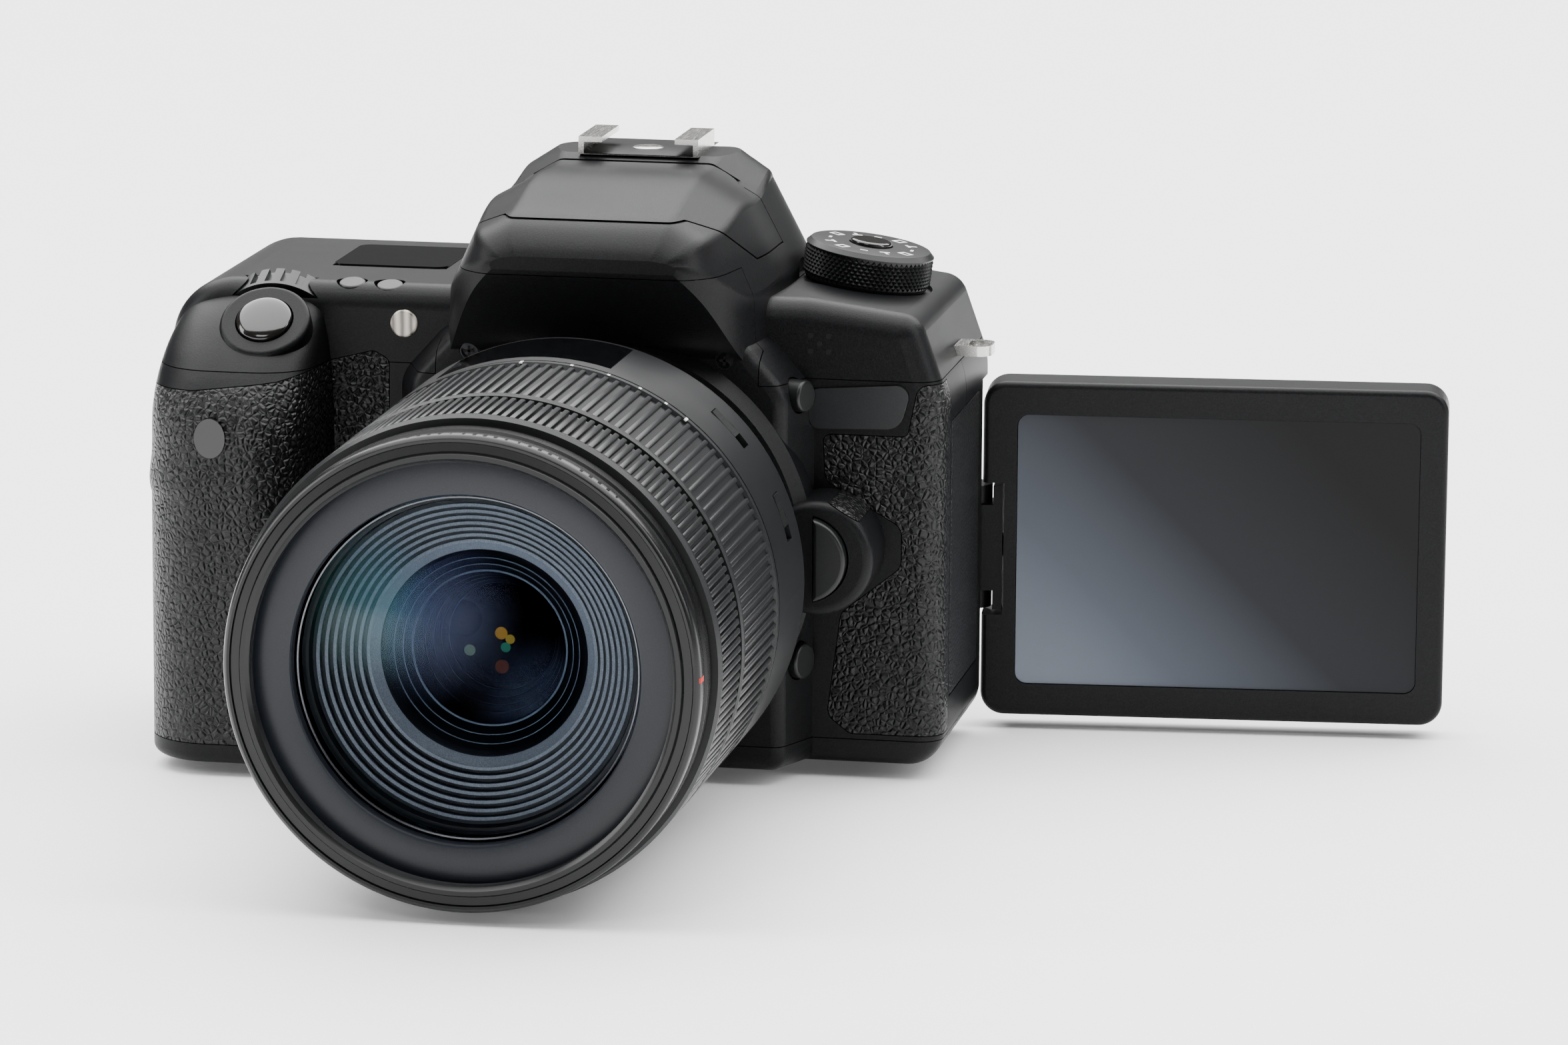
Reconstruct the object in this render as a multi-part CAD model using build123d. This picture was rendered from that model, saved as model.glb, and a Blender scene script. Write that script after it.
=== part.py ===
from build123d import *
import os
from math import cos, radians, sin

# Reflex camera with a zoom lens and a swing-out screen. Millimetres.
# X runs across the camera towards the screen hinge, Y runs from the lens (-Y) to the back (+Y),
# Z is up. X = 0 is the lens axis, Y = 0 the sensor plane, Z = 0 the base.

# ---- body ------------------------------------------------------------------
body_left = -74.6        # grip side
body_right = 56.2        # screen side
plate_z = 77.6           # top plate beside the prism hump
front_y = -31.0          # front panel
block_y = -40.0          # raised front around the lens mount
back_y = 19.0            # rear panel
grip_y = -51.7           # front of the grip
wall = 2.0               # moulded wall
skin = 0.9               # rubber covering, let into the wall
base_seam_z = 4.6        # base cover to front and rear covers
top_seam_z = 64.8        # front and rear covers to top cover
mid_seam_y = -8.0        # front cover to rear cover
seam = 0.15              # gap along a cover seam
gap = 0.3                # gap round a moving piece
run = 0.05               # radial running clearance of a shaft in its hole

# ---- lens and mount ----------------------------------------------------------
lens_z = 36.8            # lens axis above the base
flange_y = -44.0         # mounting flange
throat_r = 27.0          # inside of the bayonet
ring_r = 32.2            # outside of the steel mount ring
ring_t = 2.6
barrel_r = 38.6          # fixed barrel and rings
sleeve_r = 35.25         # sleeve that the two rings turn on
sleeve_t = 1.0
zoom_back_y = -82.8
zoom_front_y = -112.8
focus_front_y = -130.5
rim_y = -140.0           # front rim
rim_r = 37.0
thread_r = 33.1          # wall of the filter thread, 67 mm nominal
thread_len = 3.4
name_r = 27.3            # inner edge of the name ring
zoom_travel = 42.0       # how far the front barrel runs out

# ---- hump, flash and shoe -------------------------------------------------------
hump_z = 96.9
flash_pivot_y = -9.5
flash_pivot_z = 94.9
flash_barrel_r = 1.6
rail_top_z = 99.9
shoe_slot = 18.6         # accessory shoe, inside width
shoe_height = 2.0        # under the rails

# ---- screen ------------------------------------------------------------------------
swing_x = 54.0           # vertical hinge axis
swing_y = 14.6
rest_turn = 5.0          # the open screen stands this far past straight out, degrees
screen_w = 78.4
screen_h = 57.6
screen_t = 8.4
screen_low_z = 0.3
screen_near = 1.9        # hinge axis to the near edge of the screen
notch_w = 3.7            # notch in the near edge for the hinge block
notch_h = 22.8
glass_w = 67.8
glass_h = 46.4
tilt_shaft_r = 2.0

# ---- controls ------------------------------------------------------------------------
dial_x, dial_y, dial_z = 38.3, -4.0, 76.6   # foot of the mode dial
dial_r = 10.8
dial_h = 6.6
dial_lean = 8.0          # the mode dial leans outwards, degrees
wheel_r = 11.0           # main dial
wheel_t = 5.0
rear_dial_x, rear_dial_z, rear_dial_r = -49.5, 27.0, 13.5
socket_r = 7.0           # tripod socket insert
socket_hole_r = 2.6      # wall of the 1/4-20 thread
socket_h = 6.6
press = 1.0              # button travel

forwards, sideways, upwards = (0, -1, 0), (1, 0, 0), (0, 0, 1)
parts = {}


# ---- helpers -----------------------------------------------------------------------------
def front_plane(y):
    """Plane facing forwards: local x is X, local y is Z."""
    return Plane(origin=(0, y, 0), x_dir=(1, 0, 0), z_dir=(0, -1, 0))


def side_plane(x):
    """Plane facing +X: local x is Y, local y is Z."""
    return Plane(origin=(x, 0, 0), x_dir=(0, 1, 0), z_dir=(1, 0, 0))


def rounded(plane, points, radii):
    """Face with straight sides and rounded corners."""
    return make_face(plane * FilletPolyline(*points, radius=radii, close=True))


def prism(face, direction, depth):
    """Solid pushed out of a flat face along a direction."""
    return extrude(face, depth, dir=Vector(*direction))


def block(low, high):
    """Box between two corners."""
    size = [b - a for a, b in zip(low, high)]
    middle = [(a + b) / 2 for a, b in zip(low, high)]
    return Pos(*middle) * Box(*size)


def rod(start, end, radius):
    """Cylinder from one point to another."""
    axis = Vector(*end) - Vector(*start)
    return extrude(Plane(origin=start, z_dir=axis) * Circle(radius), axis.length)


def turned(points):
    """Solid turned about the lens axis from (radius, y) points."""
    plane = Plane(origin=(0, 0, lens_z), x_dir=(1, 0, 0), z_dir=(0, 0, 1))
    return revolve(plane * make_face(Polyline(*points, close=True)), Axis((0, 0, lens_z), (0, 1, 0)))


def ring_cut(r_in, r_out, y_back, y_front):
    return turned([(r_in, y_back), (r_out, y_back), (r_out, y_front), (r_in, y_front)])


def largest(shape):
    return shape.solids().sort_by(SortBy.VOLUME)[-1]


# ---- outer form of the body --------------------------------------------------------------
core_edge = 4.0
core_corners = [
    ((body_left, 0), 4.4), ((body_left, plate_z), 11), ((33, plate_z), 12),
    ((body_right - 4.7, plate_z - 2.4), 4.4), ((body_right, plate_z - 15.6), 14), ((body_right, 0), 6),
]


def core(i):
    """Main box of the body; i is the inset from the outside."""
    face = rounded(front_plane(back_y - i), [p for p, r in core_corners], [r for p, r in core_corners])
    if i:
        face = offset(face, -i)
    solid = prism(face, forwards, back_y - front_y - 2 * i)
    ends = solid.faces().sort_by(Axis.Y)
    return fillet(ends[0].edges() + ends[-1].edges(), core_edge - 0.6 * i)


# height, how far the grip's front has drawn back, how far its outer side has drawn in
grip_levels = [
    (44.0, 0, 0), (50.0, 0, 0), (56.0, 0.6, 0), (61.0, 2.6, 0.1), (66.0, 6.9, 0.6), (69.2, 10.8, 1.3),
    (72.0, 14.9, 2.5), (74.6, 20.0, 4.3), (76.4, 26.0, 6.8), (77.3, 32.0, 9.4),
]
grip_right = -49.0
grip_flank = 8.0
grip_nose_r, grip_inner_r = 11.0, 9.0
foot_r = 1.6


def grip_section(z, back, side, i):
    """Plan of the grip at one height."""
    x, y = body_left + side + i, grip_y + back + i
    points = [(x, 8), (x, y), (grip_right - i, y), (grip_right + grip_flank - i, 8)]
    tighter = 0.5 * (side + i)
    return rounded(Plane.XY.offset(z), points, [0, grip_nose_r - tighter, grip_inner_r - tighter, 0])


def grip(i):
    """Grip bulge in front of the core, with a top that slopes down to the front."""
    straight = grip_levels[0][0]
    stem = prism(grip_section(i, 0, 0, i), upwards, straight - i)
    stem = fillet(stem.faces().sort_by(Axis.Z)[0].edges().sort_by(Axis.Y)[:-1], foot_r)
    return stem + loft([grip_section(z - i * n / (len(grip_levels) - 1), back, side, i)
                        for n, (z, back, side) in enumerate(grip_levels)])


def mount_block(i):
    """Raised block round the lens mount, wider at its foot."""
    sections = []
    for y, half, top in ((front_y + 2, 35.5 - i, 72 - i), (block_y + i, 31.0 - i, 72.6 - i)):
        sections.append(rounded(
            front_plane(y),
            [(-half, 0.3 + i), (-half, top - 9), (-half + 8, top), (half - 8, top), (half, top - 9), (half, 0.3 + i)],
            [3, 6, 6, 6, 6, 3],
        ))
    solid = loft(sections, ruled=True)
    rim = solid.faces().sort_by(Axis.Y)[0].edges()
    boss = turned([(0, block_y + 6), (36.4 - i, block_y + 6), (36.4 - i, block_y + i), (34.6 - i, -42.4 + i),
                   (0, -42.4 + i)])
    bulge = rod((bulge_x, front_y + 2, bulge_z), (bulge_x, bulge_y + i, bulge_z), bulge_r - i)
    bulge = fillet(bulge.faces().sort_by(Axis.Y)[0].edges(), 1.6)
    return fillet(rim, 2.5 - 0.5 * i) + boss + bulge


bulge_x, bulge_z, bulge_r, bulge_y = 37.1, 37.2, 9.5, -43.4    # housing of the lens release

# y, underside z, top z, half width at the underside, middle, shoulder and top, middle z share, shoulder z share
hump_sections = [
    (-51.2, 84.4, 86.6, 15.0, 15.6, 13.6, 11.0),
    (-49.6, 81.4, 88.9, 17.8, 18.4, 16.4, 12.2),
    (-46.5, 77.0, 91.2, 20.6, 21.0, 18.4, 13.0),
    (-42.0, 71.0, 92.7, 23.4, 23.4, 19.6, 13.2),
    (-34.0, 66.0, 94.3, 26.4, 25.6, 20.6, 13.2),
    (-20.0, 66.0, 96.1, 28.8, 27.2, 21.2, 13.0),
    (-4.0, 66.0, 96.9, 29.6, 27.6, 21.0, 13.2),
    (8.0, 66.0, 96.9, 28.6, 26.4, 20.0, 13.6),
    (14.0, 66.0, 95.2, 26.0, 24.0, 18.6, 13.0),
]


def hump(i):
    """Prism housing: a loft along Y that narrows to the brow over the lens."""
    sections = []
    for n, (y, low, high, foot, middle, shoulder, top) in enumerate(hump_sections):
        rise = high - low
        if n == 0:
            y, low, high = y + i, low + i * 0.4, high - i * 0.4
        elif n == len(hump_sections) - 1:
            y, high = y - i, high - i
        else:
            low, high = low + i * 0.8, high - i
        z1, z2 = low + 0.5 * rise, low + 0.86 * rise
        if n:
            z1, z2 = low + 0.45 * (high - low), low + 0.85 * (high - low)
        pts = [(-foot + i, low), (-middle + i, z1), (-shoulder + i, z2), (-top + i, high),
               (top - i, high), (shoulder - i, z2), (middle - i, z1), (foot - i, low)]
        small = min(2.6, 0.3 * (high - low))
        sections.append(rounded(front_plane(y), pts, [0, small, small, small, small, small, small, 0]))
    return loft(sections) & block((-40, -60, 60), (40, 20, hump_z - i))


eye_x, eye_z0, eye_z1, eye_y = 17.0, 67.5, 89.0, 20.4     # eyepiece housing
recess_z = screen_low_z + screen_h + 0.5                  # top of the screen recess
recess_y = swing_y - screen_t / 2 - 0.4                   # floor of the screen recess
recess_x = swing_x - screen_near - screen_w - 0.6         # far end of the screen recess


def eyepiece_housing(i):
    face = rounded(front_plane(eye_y - i),
                   [(-eye_x + i, eye_z0 + i), (-eye_x + 2 + i, eye_z1 - i), (eye_x - 2 - i, eye_z1 - i),
                    (eye_x - i, eye_z0 + i)], 3.0)
    return prism(face, forwards, 14)


def recess(i):
    """Space in the back for the folded screen, open at the base and at the hinge side."""
    return block((recess_x - i, recess_y - i, -5), (body_right + 5, back_y + 30, recess_z + i))


def body_form(i):
    return core(i) + grip(i) + mount_block(i) + hump(i) + eyepiece_housing(i) - recess(i)


outer = body_form(0)
under_skin = body_form(skin)
inner = body_form(wall)

# ---- pieces of the shell -------------------------------------------------------------------
big = 200.0
front_tongue = block((-27, -big, 40), (27, block_y + 4.5, 83.6))    # front cover runs up under the brow
top_zone = block((-big, -big, top_seam_z + seam / 2), (big, big, big)) - front_tongue
base_zone = block((-big, -big, -5), (big, big, base_seam_z - seam / 2))
middle_zone = block((-big, -big, base_seam_z + seam / 2), (big, big, top_seam_z - seam / 2))
tongue_zone = block((-27 + seam, -big, 40), (27 - seam, block_y + 4.5 - seam, 83.6 - seam))
front_zone = middle_zone + tongue_zone - block((-big, mid_seam_y - seam / 2, -5), (big, big, big))
rear_zone = middle_zone - block((-big, -big, -5), (big, mid_seam_y + seam / 2, big))

# Flash head: front of the hump roof, above a seam that drops to the sides
flash_outline = [(-60, 92.0), (-41.2, 92.0), (-27.5, 83.9), (flash_pivot_y, 83.9), (flash_pivot_y, 110), (-60, 110)]
flash_prism = prism(side_plane(-40) * make_face(Polyline(*flash_outline, close=True)), sideways, 80)
pivot_left, pivot_right = (-40, flash_pivot_y, flash_pivot_z), (40, flash_pivot_y, flash_pivot_z)
flash_zone = flash_prism + rod(pivot_left, pivot_right, flash_barrel_r)
flash_gap_outline = [
    (-60, 92.0 - gap), (-41.4, 92.0 - gap), (-27.7, 83.9 - gap), (flash_pivot_y + gap, 83.9 - gap),
    (flash_pivot_y + gap, flash_pivot_z - 2.2), (flash_pivot_y + 2, flash_pivot_z - 1.4), (flash_pivot_y + 2, 110),
    (-60, 110),
]
flash_hole = prism(side_plane(-35) * make_face(Polyline(*flash_gap_outline, close=True)), sideways, 70)
well_wall = 1.4
well_outline = [
    (-70, 92.0 - gap - well_wall), (-41.9, 92.0 - gap - well_wall), (-28.2, 83.9 - gap - well_wall),
    (flash_pivot_y + gap + well_wall, 83.9 - gap - well_wall), (flash_pivot_y + gap + well_wall, flash_pivot_z - 2.8),
    (flash_pivot_y + 2 + well_wall, flash_pivot_z - 2.2), (flash_pivot_y + 2 + well_wall, 120), (-70, 120),
]
flash_well = prism(side_plane(-36) * make_face(Polyline(*well_outline, close=True)), sideways, 72)

shell = outer - inner
hump_wall = 1.7
roof_core = hump(hump_wall)
flash_head = largest((hump(0) - roof_core) & flash_zone)
parts["flash_head"] = flash_head

# Skins: coverings let into the wall
skin_layer = outer - under_skin
grip_skin_outline = [(-90, 3.4), (-90, 61.4), (-66, 61.8), (-52, 63.4), (-39.5, 66.6), (-36.9, 65.2), (-37.2, 3.4)]
side_skin_outline = [(36.2, 55.6), (36.6, 48), (49.4, 40.5), (49.4, 33.8), (39.4, 25.8), (37.2, 8.5), (41, 5.6),
                     (90, 5.6), (90, top_seam_z - 0.6), (51.9, top_seam_z - 0.6), (50.2, 55.6)]
skin_back_y = -24.0


def zone(outline, corner, grow=0.0, y_back=-10.0):
    face = rounded(front_plane(y_back), outline, corner)
    if grow:
        face = offset(face, grow)
    return prism(face, forwards, 60)


grip_skin_corners = [0, 0, 0, 6, 1.5, 1.5, 1.5]
side_skin_corners = [1.2, 2, 2.5, 2.5, 2, 2.5, 2, 0, 0, 2, 1.2]
parts["grip_rubber"] = largest(skin_layer & zone(grip_skin_outline, grip_skin_corners))
parts["side_rubber"] = largest(skin_layer & zone(side_skin_outline, side_skin_corners, 0, skin_back_y))
skin_pockets = (skin_layer & zone(grip_skin_outline, grip_skin_corners, seam)) + (
    skin_layer & zone(side_skin_outline, side_skin_corners, seam, skin_back_y + seam))

# ---- openings in the covers: everything that passes through them adds its own cutter here ----
cutters = []


def through(axis_point, direction, radius, out=6.0, depth=9.0):
    """Round hole through a cover along a control's axis."""
    n = Vector(*direction).normalized()
    p = Vector(*axis_point)
    cutters.append(rod(tuple(p - n * depth), tuple(p + n * out), radius))


def button(name, face_point, direction, radius, proud=0.9, depth=3.6, edge=0.5):
    """Plain push button: a rounded cap on a plunger, in a hole with a gap all round."""
    n = Vector(*direction).normalized()
    p = Vector(*face_point)
    cap = rod(tuple(p - n * depth), tuple(p + n * proud), radius)
    tip = cap.edges().sort_by(Axis(tuple(p), tuple(n)))[-1]
    parts[name] = fillet(tip, edge)
    through(face_point, direction, radius + gap, depth=depth + press + 1.0)


# shutter button on the slope of the grip, in a smooth raised pad
shutter_dir = Vector(0, -0.64, 0.77).normalized()
shutter_at = Vector(-56.3, -37.4, 71.6)
shutter_r = 4.6
pad = rod(tuple(shutter_at - shutter_dir * 3), tuple(shutter_at + shutter_dir * 0.9), shutter_r + 3.0)
pad = fillet(pad.edges().sort_by(Axis(tuple(shutter_at), tuple(shutter_dir)))[-1], 0.8)
button("shutter_button", tuple(shutter_at + shutter_dir * 0.9), tuple(shutter_dir), shutter_r, 1.3, 4.4, 1.1)

# main dial: a toothed wheel standing behind the shutter button, its rim proud of the slope
wheel_dir = Vector(0, -0.94, -0.342).normalized()
wheel_at = Vector(-56.3, -25.2, 67.9)
wheel_teeth = 26
wheel_slot = (1.6, 1.2)     # depth twice over, width
wheel_rim = 0.8             # plain rim on the front face


def wheel():
    half = wheel_dir * (wheel_t / 2)
    body = rod(tuple(wheel_at - half), tuple(wheel_at + half), wheel_r)
    stub = wheel_dir * (wheel_t / 2 + 1.4)
    body += rod(tuple(wheel_at - stub), tuple(wheel_at + stub), 1.5)
    plane = Plane(origin=tuple(wheel_at - half), x_dir=(1, 0, 0), z_dir=tuple(wheel_dir))
    for k in range(wheel_teeth):
        slot = plane * (Rot(0, 0, 360 / wheel_teeth * k) * Pos(wheel_r, 0) * Rectangle(*wheel_slot))
        body -= extrude(slot, wheel_t - wheel_rim)
    return body


parts["main_dial"] = wheel()
wheel_room = wheel_dir * (wheel_t / 2 + gap)
cutters.append(rod(tuple(wheel_at - wheel_room), tuple(wheel_at + wheel_room), wheel_r + gap))

# top plate buttons
button("iso_button", (-44.0, -27.0, 76.6), (0, -0.25, 0.97), 2.3, 0.9)
button("area_button", (-37.6, -27.0, 76.4), (0, -0.25, 0.97), 2.3, 0.9)

# mode dial on the screen-side shoulder, leaning outwards
lean = radians(dial_lean)
dial_dir = Vector(sin(lean), 0, cos(lean))
dial_at = Vector(dial_x, dial_y, dial_z)


def on_dial(z):
    """Point on the mode dial's axis, z above its foot."""
    return tuple(dial_at + dial_dir * z)


spindle_r = 3.0
dial = rod(on_dial(0), on_dial(dial_h), dial_r)
dial = chamfer(dial.edges().sort_by(Axis(on_dial(0), tuple(dial_dir)))[-1], 0.9)
dial_lock_r = 3.5
dial -= rod(on_dial(dial_h - 3.0), on_dial(dial_h + 1), dial_lock_r + gap / 2)
dial += rod(on_dial(-6.0), on_dial(0), spindle_r)
parts["mode_dial"] = dial
dial_lock = rod(on_dial(dial_h - 1.9), on_dial(dial_h + 0.7), dial_lock_r)
parts["mode_dial_lock"] = fillet(dial_lock.edges().sort_by(Axis(on_dial(0), tuple(dial_dir)))[-1], 0.5)
cutters.append(rod(on_dial(-gap), on_dial(dial_h + 12), dial_r + 0.5))
cutters.append(rod(on_dial(-9), on_dial(1), spindle_r + run))
dial_boss = rod(on_dial(-5.0), on_dial(-gap), spindle_r + 2.5)

# power switch: a small lever behind the mode dial
switch_x, switch_y, switch_z = 30.6, 11.4, plate_z
lever_foot = rod((switch_x, switch_y, switch_z - 4.5), (switch_x, switch_y, switch_z + 0.3), 1.8)
lever_disc = rod((switch_x, switch_y, switch_z + 0.3), (switch_x, switch_y, switch_z + 1.8), 3.6)
lever_tab = block((switch_x - 1.0, switch_y + 1.0, switch_z + 0.3), (switch_x + 1.0, switch_y + 5.6, switch_z + 2.6))
parts["power_switch"] = lever_foot + lever_disc + lever_tab
cutters.append(rod((switch_x, switch_y, switch_z - 7), (switch_x, switch_y, switch_z + 4), 1.8 + run))

# flash and depth-preview buttons on the flank of the mount block, lens release in its bulge
flank = Vector(0.925, -0.378, 0)
button("flash_button", (33.3, -35.2, 62.6), tuple(flank), 2.65, 1.0)
button("preview_button", (33.4, -35.2, 18.4), tuple(flank), 3.0, 1.0)
release_r = 7.0
release_x = 35.4


def half_moon(radius, y_front, y_back, x_cut):
    disc = rod((release_x, y_back, bulge_z), (release_x, y_front, bulge_z), radius)
    return disc - block((-big, -big, -big), (x_cut, big, big))


release = half_moon(release_r, bulge_y - 1.9, bulge_y + 5.5, release_x + 1.6)
parts["lens_release"] = fillet(release.faces().sort_by(Axis.Y)[0].edges(), 0.7)
cutters.append(half_moon(release_r + gap, bulge_y - 5, bulge_y + 9.5, release_x + 1.6 - gap))

# back: rear dial with its set button, and the other buttons
backwards = (0, 1, 0)
set_r = 5.6
rear_dial = rod((rear_dial_x, back_y - 3.0, rear_dial_z), (rear_dial_x, back_y + 0.9, rear_dial_z), rear_dial_r)
rear_dial = fillet(rear_dial.edges().sort_by(Axis.Y)[-1], 0.6)
rear_dial -= rod((rear_dial_x, back_y - 4, rear_dial_z), (rear_dial_x, back_y + 2, rear_dial_z), set_r + gap)
parts["quick_dial"] = rear_dial
cutters.append(rod((rear_dial_x, back_y - 3.3, rear_dial_z), (rear_dial_x, back_y + 5, rear_dial_z),
                   rear_dial_r + gap))
set_cap = rod((rear_dial_x, back_y - 2.0, rear_dial_z), (rear_dial_x, back_y + 0.9, rear_dial_z), set_r)
parts["set_button"] = fillet(set_cap.edges().sort_by(Axis.Y)[-1], 0.5)
rear_buttons = {
    "menu_button": (46.0, 61.6, 2.2), "info_button": (38.0, 61.6, 2.2), "playback_button": (-33.0, 47.0, 2.8),
    "af_button": (-37.0, 60.6, 2.9), "lock_button": (-46.0, 60.6, 2.6),
}
for name, (x, z, r) in rear_buttons.items():
    button(name, (x, back_y, z), backwards, r, 0.9, 3.4)
dial_cup = rod((rear_dial_x, back_y - 5.2, rear_dial_z), (rear_dial_x, back_y - 1, rear_dial_z),
               rear_dial_r + gap + 1.2)

# dioptre dial on the side of the eyepiece housing
dioptre_y, dioptre_z = 15.2, 79.0
parts["dioptre_dial"] = rod((-eye_x - 2.6, dioptre_y, dioptre_z), (-eye_x + 0.2, dioptre_y, dioptre_z), 2.9) + rod(
    (-eye_x, dioptre_y, dioptre_z), (-eye_x + 3.5, dioptre_y, dioptre_z), 1.2)
cutters.append(rod((-eye_x - 6, dioptre_y, dioptre_z), (-eye_x + 0.2 + gap, dioptre_y, dioptre_z), 2.9 + gap))
cutters.append(rod((-eye_x, dioptre_y, dioptre_z), (-eye_x + 5, dioptre_y, dioptre_z), 1.2 + run))

# ---- doors ------------------------------------------------------------------------------------
pin_r = 1.0


def side_door(x_out, inward, y_hinge, y_free, z0, z1):
    """Flat door let into a side wall, with a rolled hinge edge standing upright."""
    x_in = x_out + inward * 2 * pin_r
    leaf = block((min(x_out, x_in), min(y_hinge, y_free), z0), (max(x_out, x_in), max(y_hinge, y_free), z1))
    return leaf + rod((x_out + inward * pin_r, y_hinge, z0), (x_out + inward * pin_r, y_hinge, z1), pin_r)


card_hinge_y = -4.4
parts["card_door"] = side_door(body_left, 1, card_hinge_y, 13.0, 14, 50)
card_cut = side_door(body_left, 1, card_hinge_y, 13.0 + gap, 14 - gap, 50 + gap)
card_cut += rod((body_left + pin_r, card_hinge_y, 14 - gap), (body_left + pin_r, card_hinge_y, 50 + gap), pin_r + gap)
cutters.append(card_cut + block((body_left - 2, card_hinge_y - pin_r - gap, 14 - gap),
                                (body_left + pin_r, 13 + gap, 50 + gap)))

port_hinge_y = -21.6
port_low, port_high = 11.0, 57.0
parts["terminal_cover"] = side_door(body_right, -1, port_hinge_y, 6.4, port_low, port_high)
port_cut = side_door(body_right, -1, port_hinge_y, 6.4 + gap, port_low - gap, port_high + gap)
port_cut += rod((body_right - pin_r, port_hinge_y, port_low - gap), (body_right - pin_r, port_hinge_y, port_high + gap),
                pin_r + gap)
cutters.append(port_cut + block((body_right - pin_r, port_hinge_y - pin_r - gap, port_low - gap),
                                (body_right + 2, 6.4 + gap, port_high + gap)))

# battery door in the base, rolled hinge edge along Y
bat_x0, bat_x1, bat_y0, bat_y1 = -68.4, -50.6, -45.0, -9.6
door = block((bat_x0, bat_y0, 0), (bat_x1, bat_y1, 2 * pin_r))
door += rod((bat_x1, bat_y0, pin_r), (bat_x1, bat_y1, pin_r), pin_r)
parts["battery_door"] = door
cutters.append(block((bat_x0 - gap, bat_y0 - gap, -2), (bat_x1, bat_y1 + gap, 2 * pin_r + gap))
               + block((bat_x1 - 1, bat_y0 - gap, -2), (bat_x1 + pin_r + gap, bat_y1 + gap, pin_r))
               + rod((bat_x1, bat_y0 - gap, pin_r), (bat_x1, bat_y1 + gap, pin_r), pin_r + gap))

# ---- trim and windows ------------------------------------------------------------------------------
lamp_x, lamp_z, lamp_r = -34.3, 71.4, 2.3
lamp = rod((lamp_x, front_y + 1.9, lamp_z), (lamp_x, front_y - 0.5, lamp_z), lamp_r)
parts["timer_lamp"] = fillet(lamp.edges().sort_by(Axis.Y)[0], 0.4)
cutters.append(rod((lamp_x, front_y + 6, lamp_z), (lamp_x, front_y - 4, lamp_z), lamp_r + run))
remote_plane = front_plane(grip_y + 4.2)
parts["remote_window"] = prism(remote_plane * Pos(-62.2, 54.6) * Ellipse(2.6, 3.3), forwards, 4.1)
remote_hole = prism(front_plane(grip_y + 8) * Pos(-62.2, 54.6) * Ellipse(2.6 + run, 3.3 + run), forwards, 12)
cutters.append(remote_hole)
parts["grip_rubber"] = largest(parts["grip_rubber"] - remote_hole)
window_low, window_high = (-51.0, -12.5), (-31.5, 8.5)
top_window = block((*window_low, plate_z - 1.2), (*window_high, plate_z + 0.3))
parts["top_window"] = fillet(top_window.edges().filter_by(Axis.Z), 2.0)
cutters.append(block((window_low[0] - run, window_low[1] - run, plate_z - 1.2),
                     (window_high[0] + run, window_high[1] + run, plate_z + 5)))
badge_outline = [(33.3, 63.1), (51.0, 64.4), (49.0, 57.0), (34.2, 56.6)]
badge_face = rounded(front_plane(front_y + 0.9), badge_outline, [2, 2, 3, 1.5])
parts["badge_plate"] = prism(badge_face, forwards, 1.5)
cutters.append(prism(offset(badge_face, run), forwards, 12))

# cover screws: two in the front under the brow, four in the base
screw_r, screw_head = 1.5, 0.9
screw_spots = [((x, block_y, 68.8), (0, -1, 0)) for x in (-21.3, 21.3)]
screw_spots += [((x, y, 0), (0, 0, -1)) for x in (-40, 40) for y in (-24, 4)]
screws = []
for spot, out in screw_spots:
    n, p = Vector(*out), Vector(*spot)
    head = rod(tuple(p - n * (screw_head + 0.1)), tuple(p - n * 0.1), screw_r)
    screws.append(head + rod(tuple(p - n * 4.0), tuple(p - n * screw_head), 0.8))
    cutters.append(rod(tuple(p - n * (screw_head + 0.1)), tuple(p + n * 4), screw_r + run))
    cutters.append(rod(tuple(p - n * 6.0), tuple(p), 0.8 + run))
parts["cover_screws"] = Compound(children=screws)

# tripod socket insert
socket = rod((0, 0, 0), (0, 0, socket_h), socket_r)
parts["tripod_socket"] = socket - rod((0, 0, -1), (0, 0, socket_h - 1.0), socket_hole_r)
cutters.append(rod((0, 0, -2), (0, 0, socket_h + 1), socket_r + run))

# strap lugs: stainless loops let into the shoulders
lug_z, lug_t, lug_y = top_seam_z + 0.9, 1.7, -6.2


def lug(x_root, out):
    outline = RectangleRounded(9.4, 7.2, 2.2) - Pos(out * 1.9, 0) * RectangleRounded(2.4, 4.6, 1.0)
    return extrude(Plane.XY.offset(lug_z) * Pos(x_root, lug_y) * outline, lug_t)


lug_right_x, lug_left_x = body_right - 0.5, body_left + 0.5
parts["strap_lugs"] = Compound(children=[lug(lug_right_x, 1), lug(lug_left_x, -1)])
for x in (lug_right_x, lug_left_x):
    cutters.append(extrude(Plane.XY.offset(lug_z - run) * Pos(x, lug_y) * RectangleRounded(9.5, 7.3, 2.2),
                           lug_t + 2 * run))

# lens mount ring in the boss, and the throat behind it
parts["mount_ring"] = ring_cut(throat_r, ring_r, flange_y + ring_t, flange_y)
cutters.append(ring_cut(0, ring_r + run, flange_y + ring_t, flange_y - 5))
cutters.append(ring_cut(0, throat_r + 0.3, block_y + 6, flange_y))

# eyepiece opening
cutters.append(block((-9.5, 8.0, 72.0), (9.5, 40.0, 83.0)))

# ---- covers -----------------------------------------------------------------------------------------
cut_all = cutters[0]
for cutter in cutters[1:]:
    cut_all += cutter
knuckle_r = 3.4
tilt_z = screen_low_z + screen_h / 2
knuckle_half = notch_h / 2 - 0.8
arm_half = 7.4
swing_pin_r = 1.2


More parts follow.
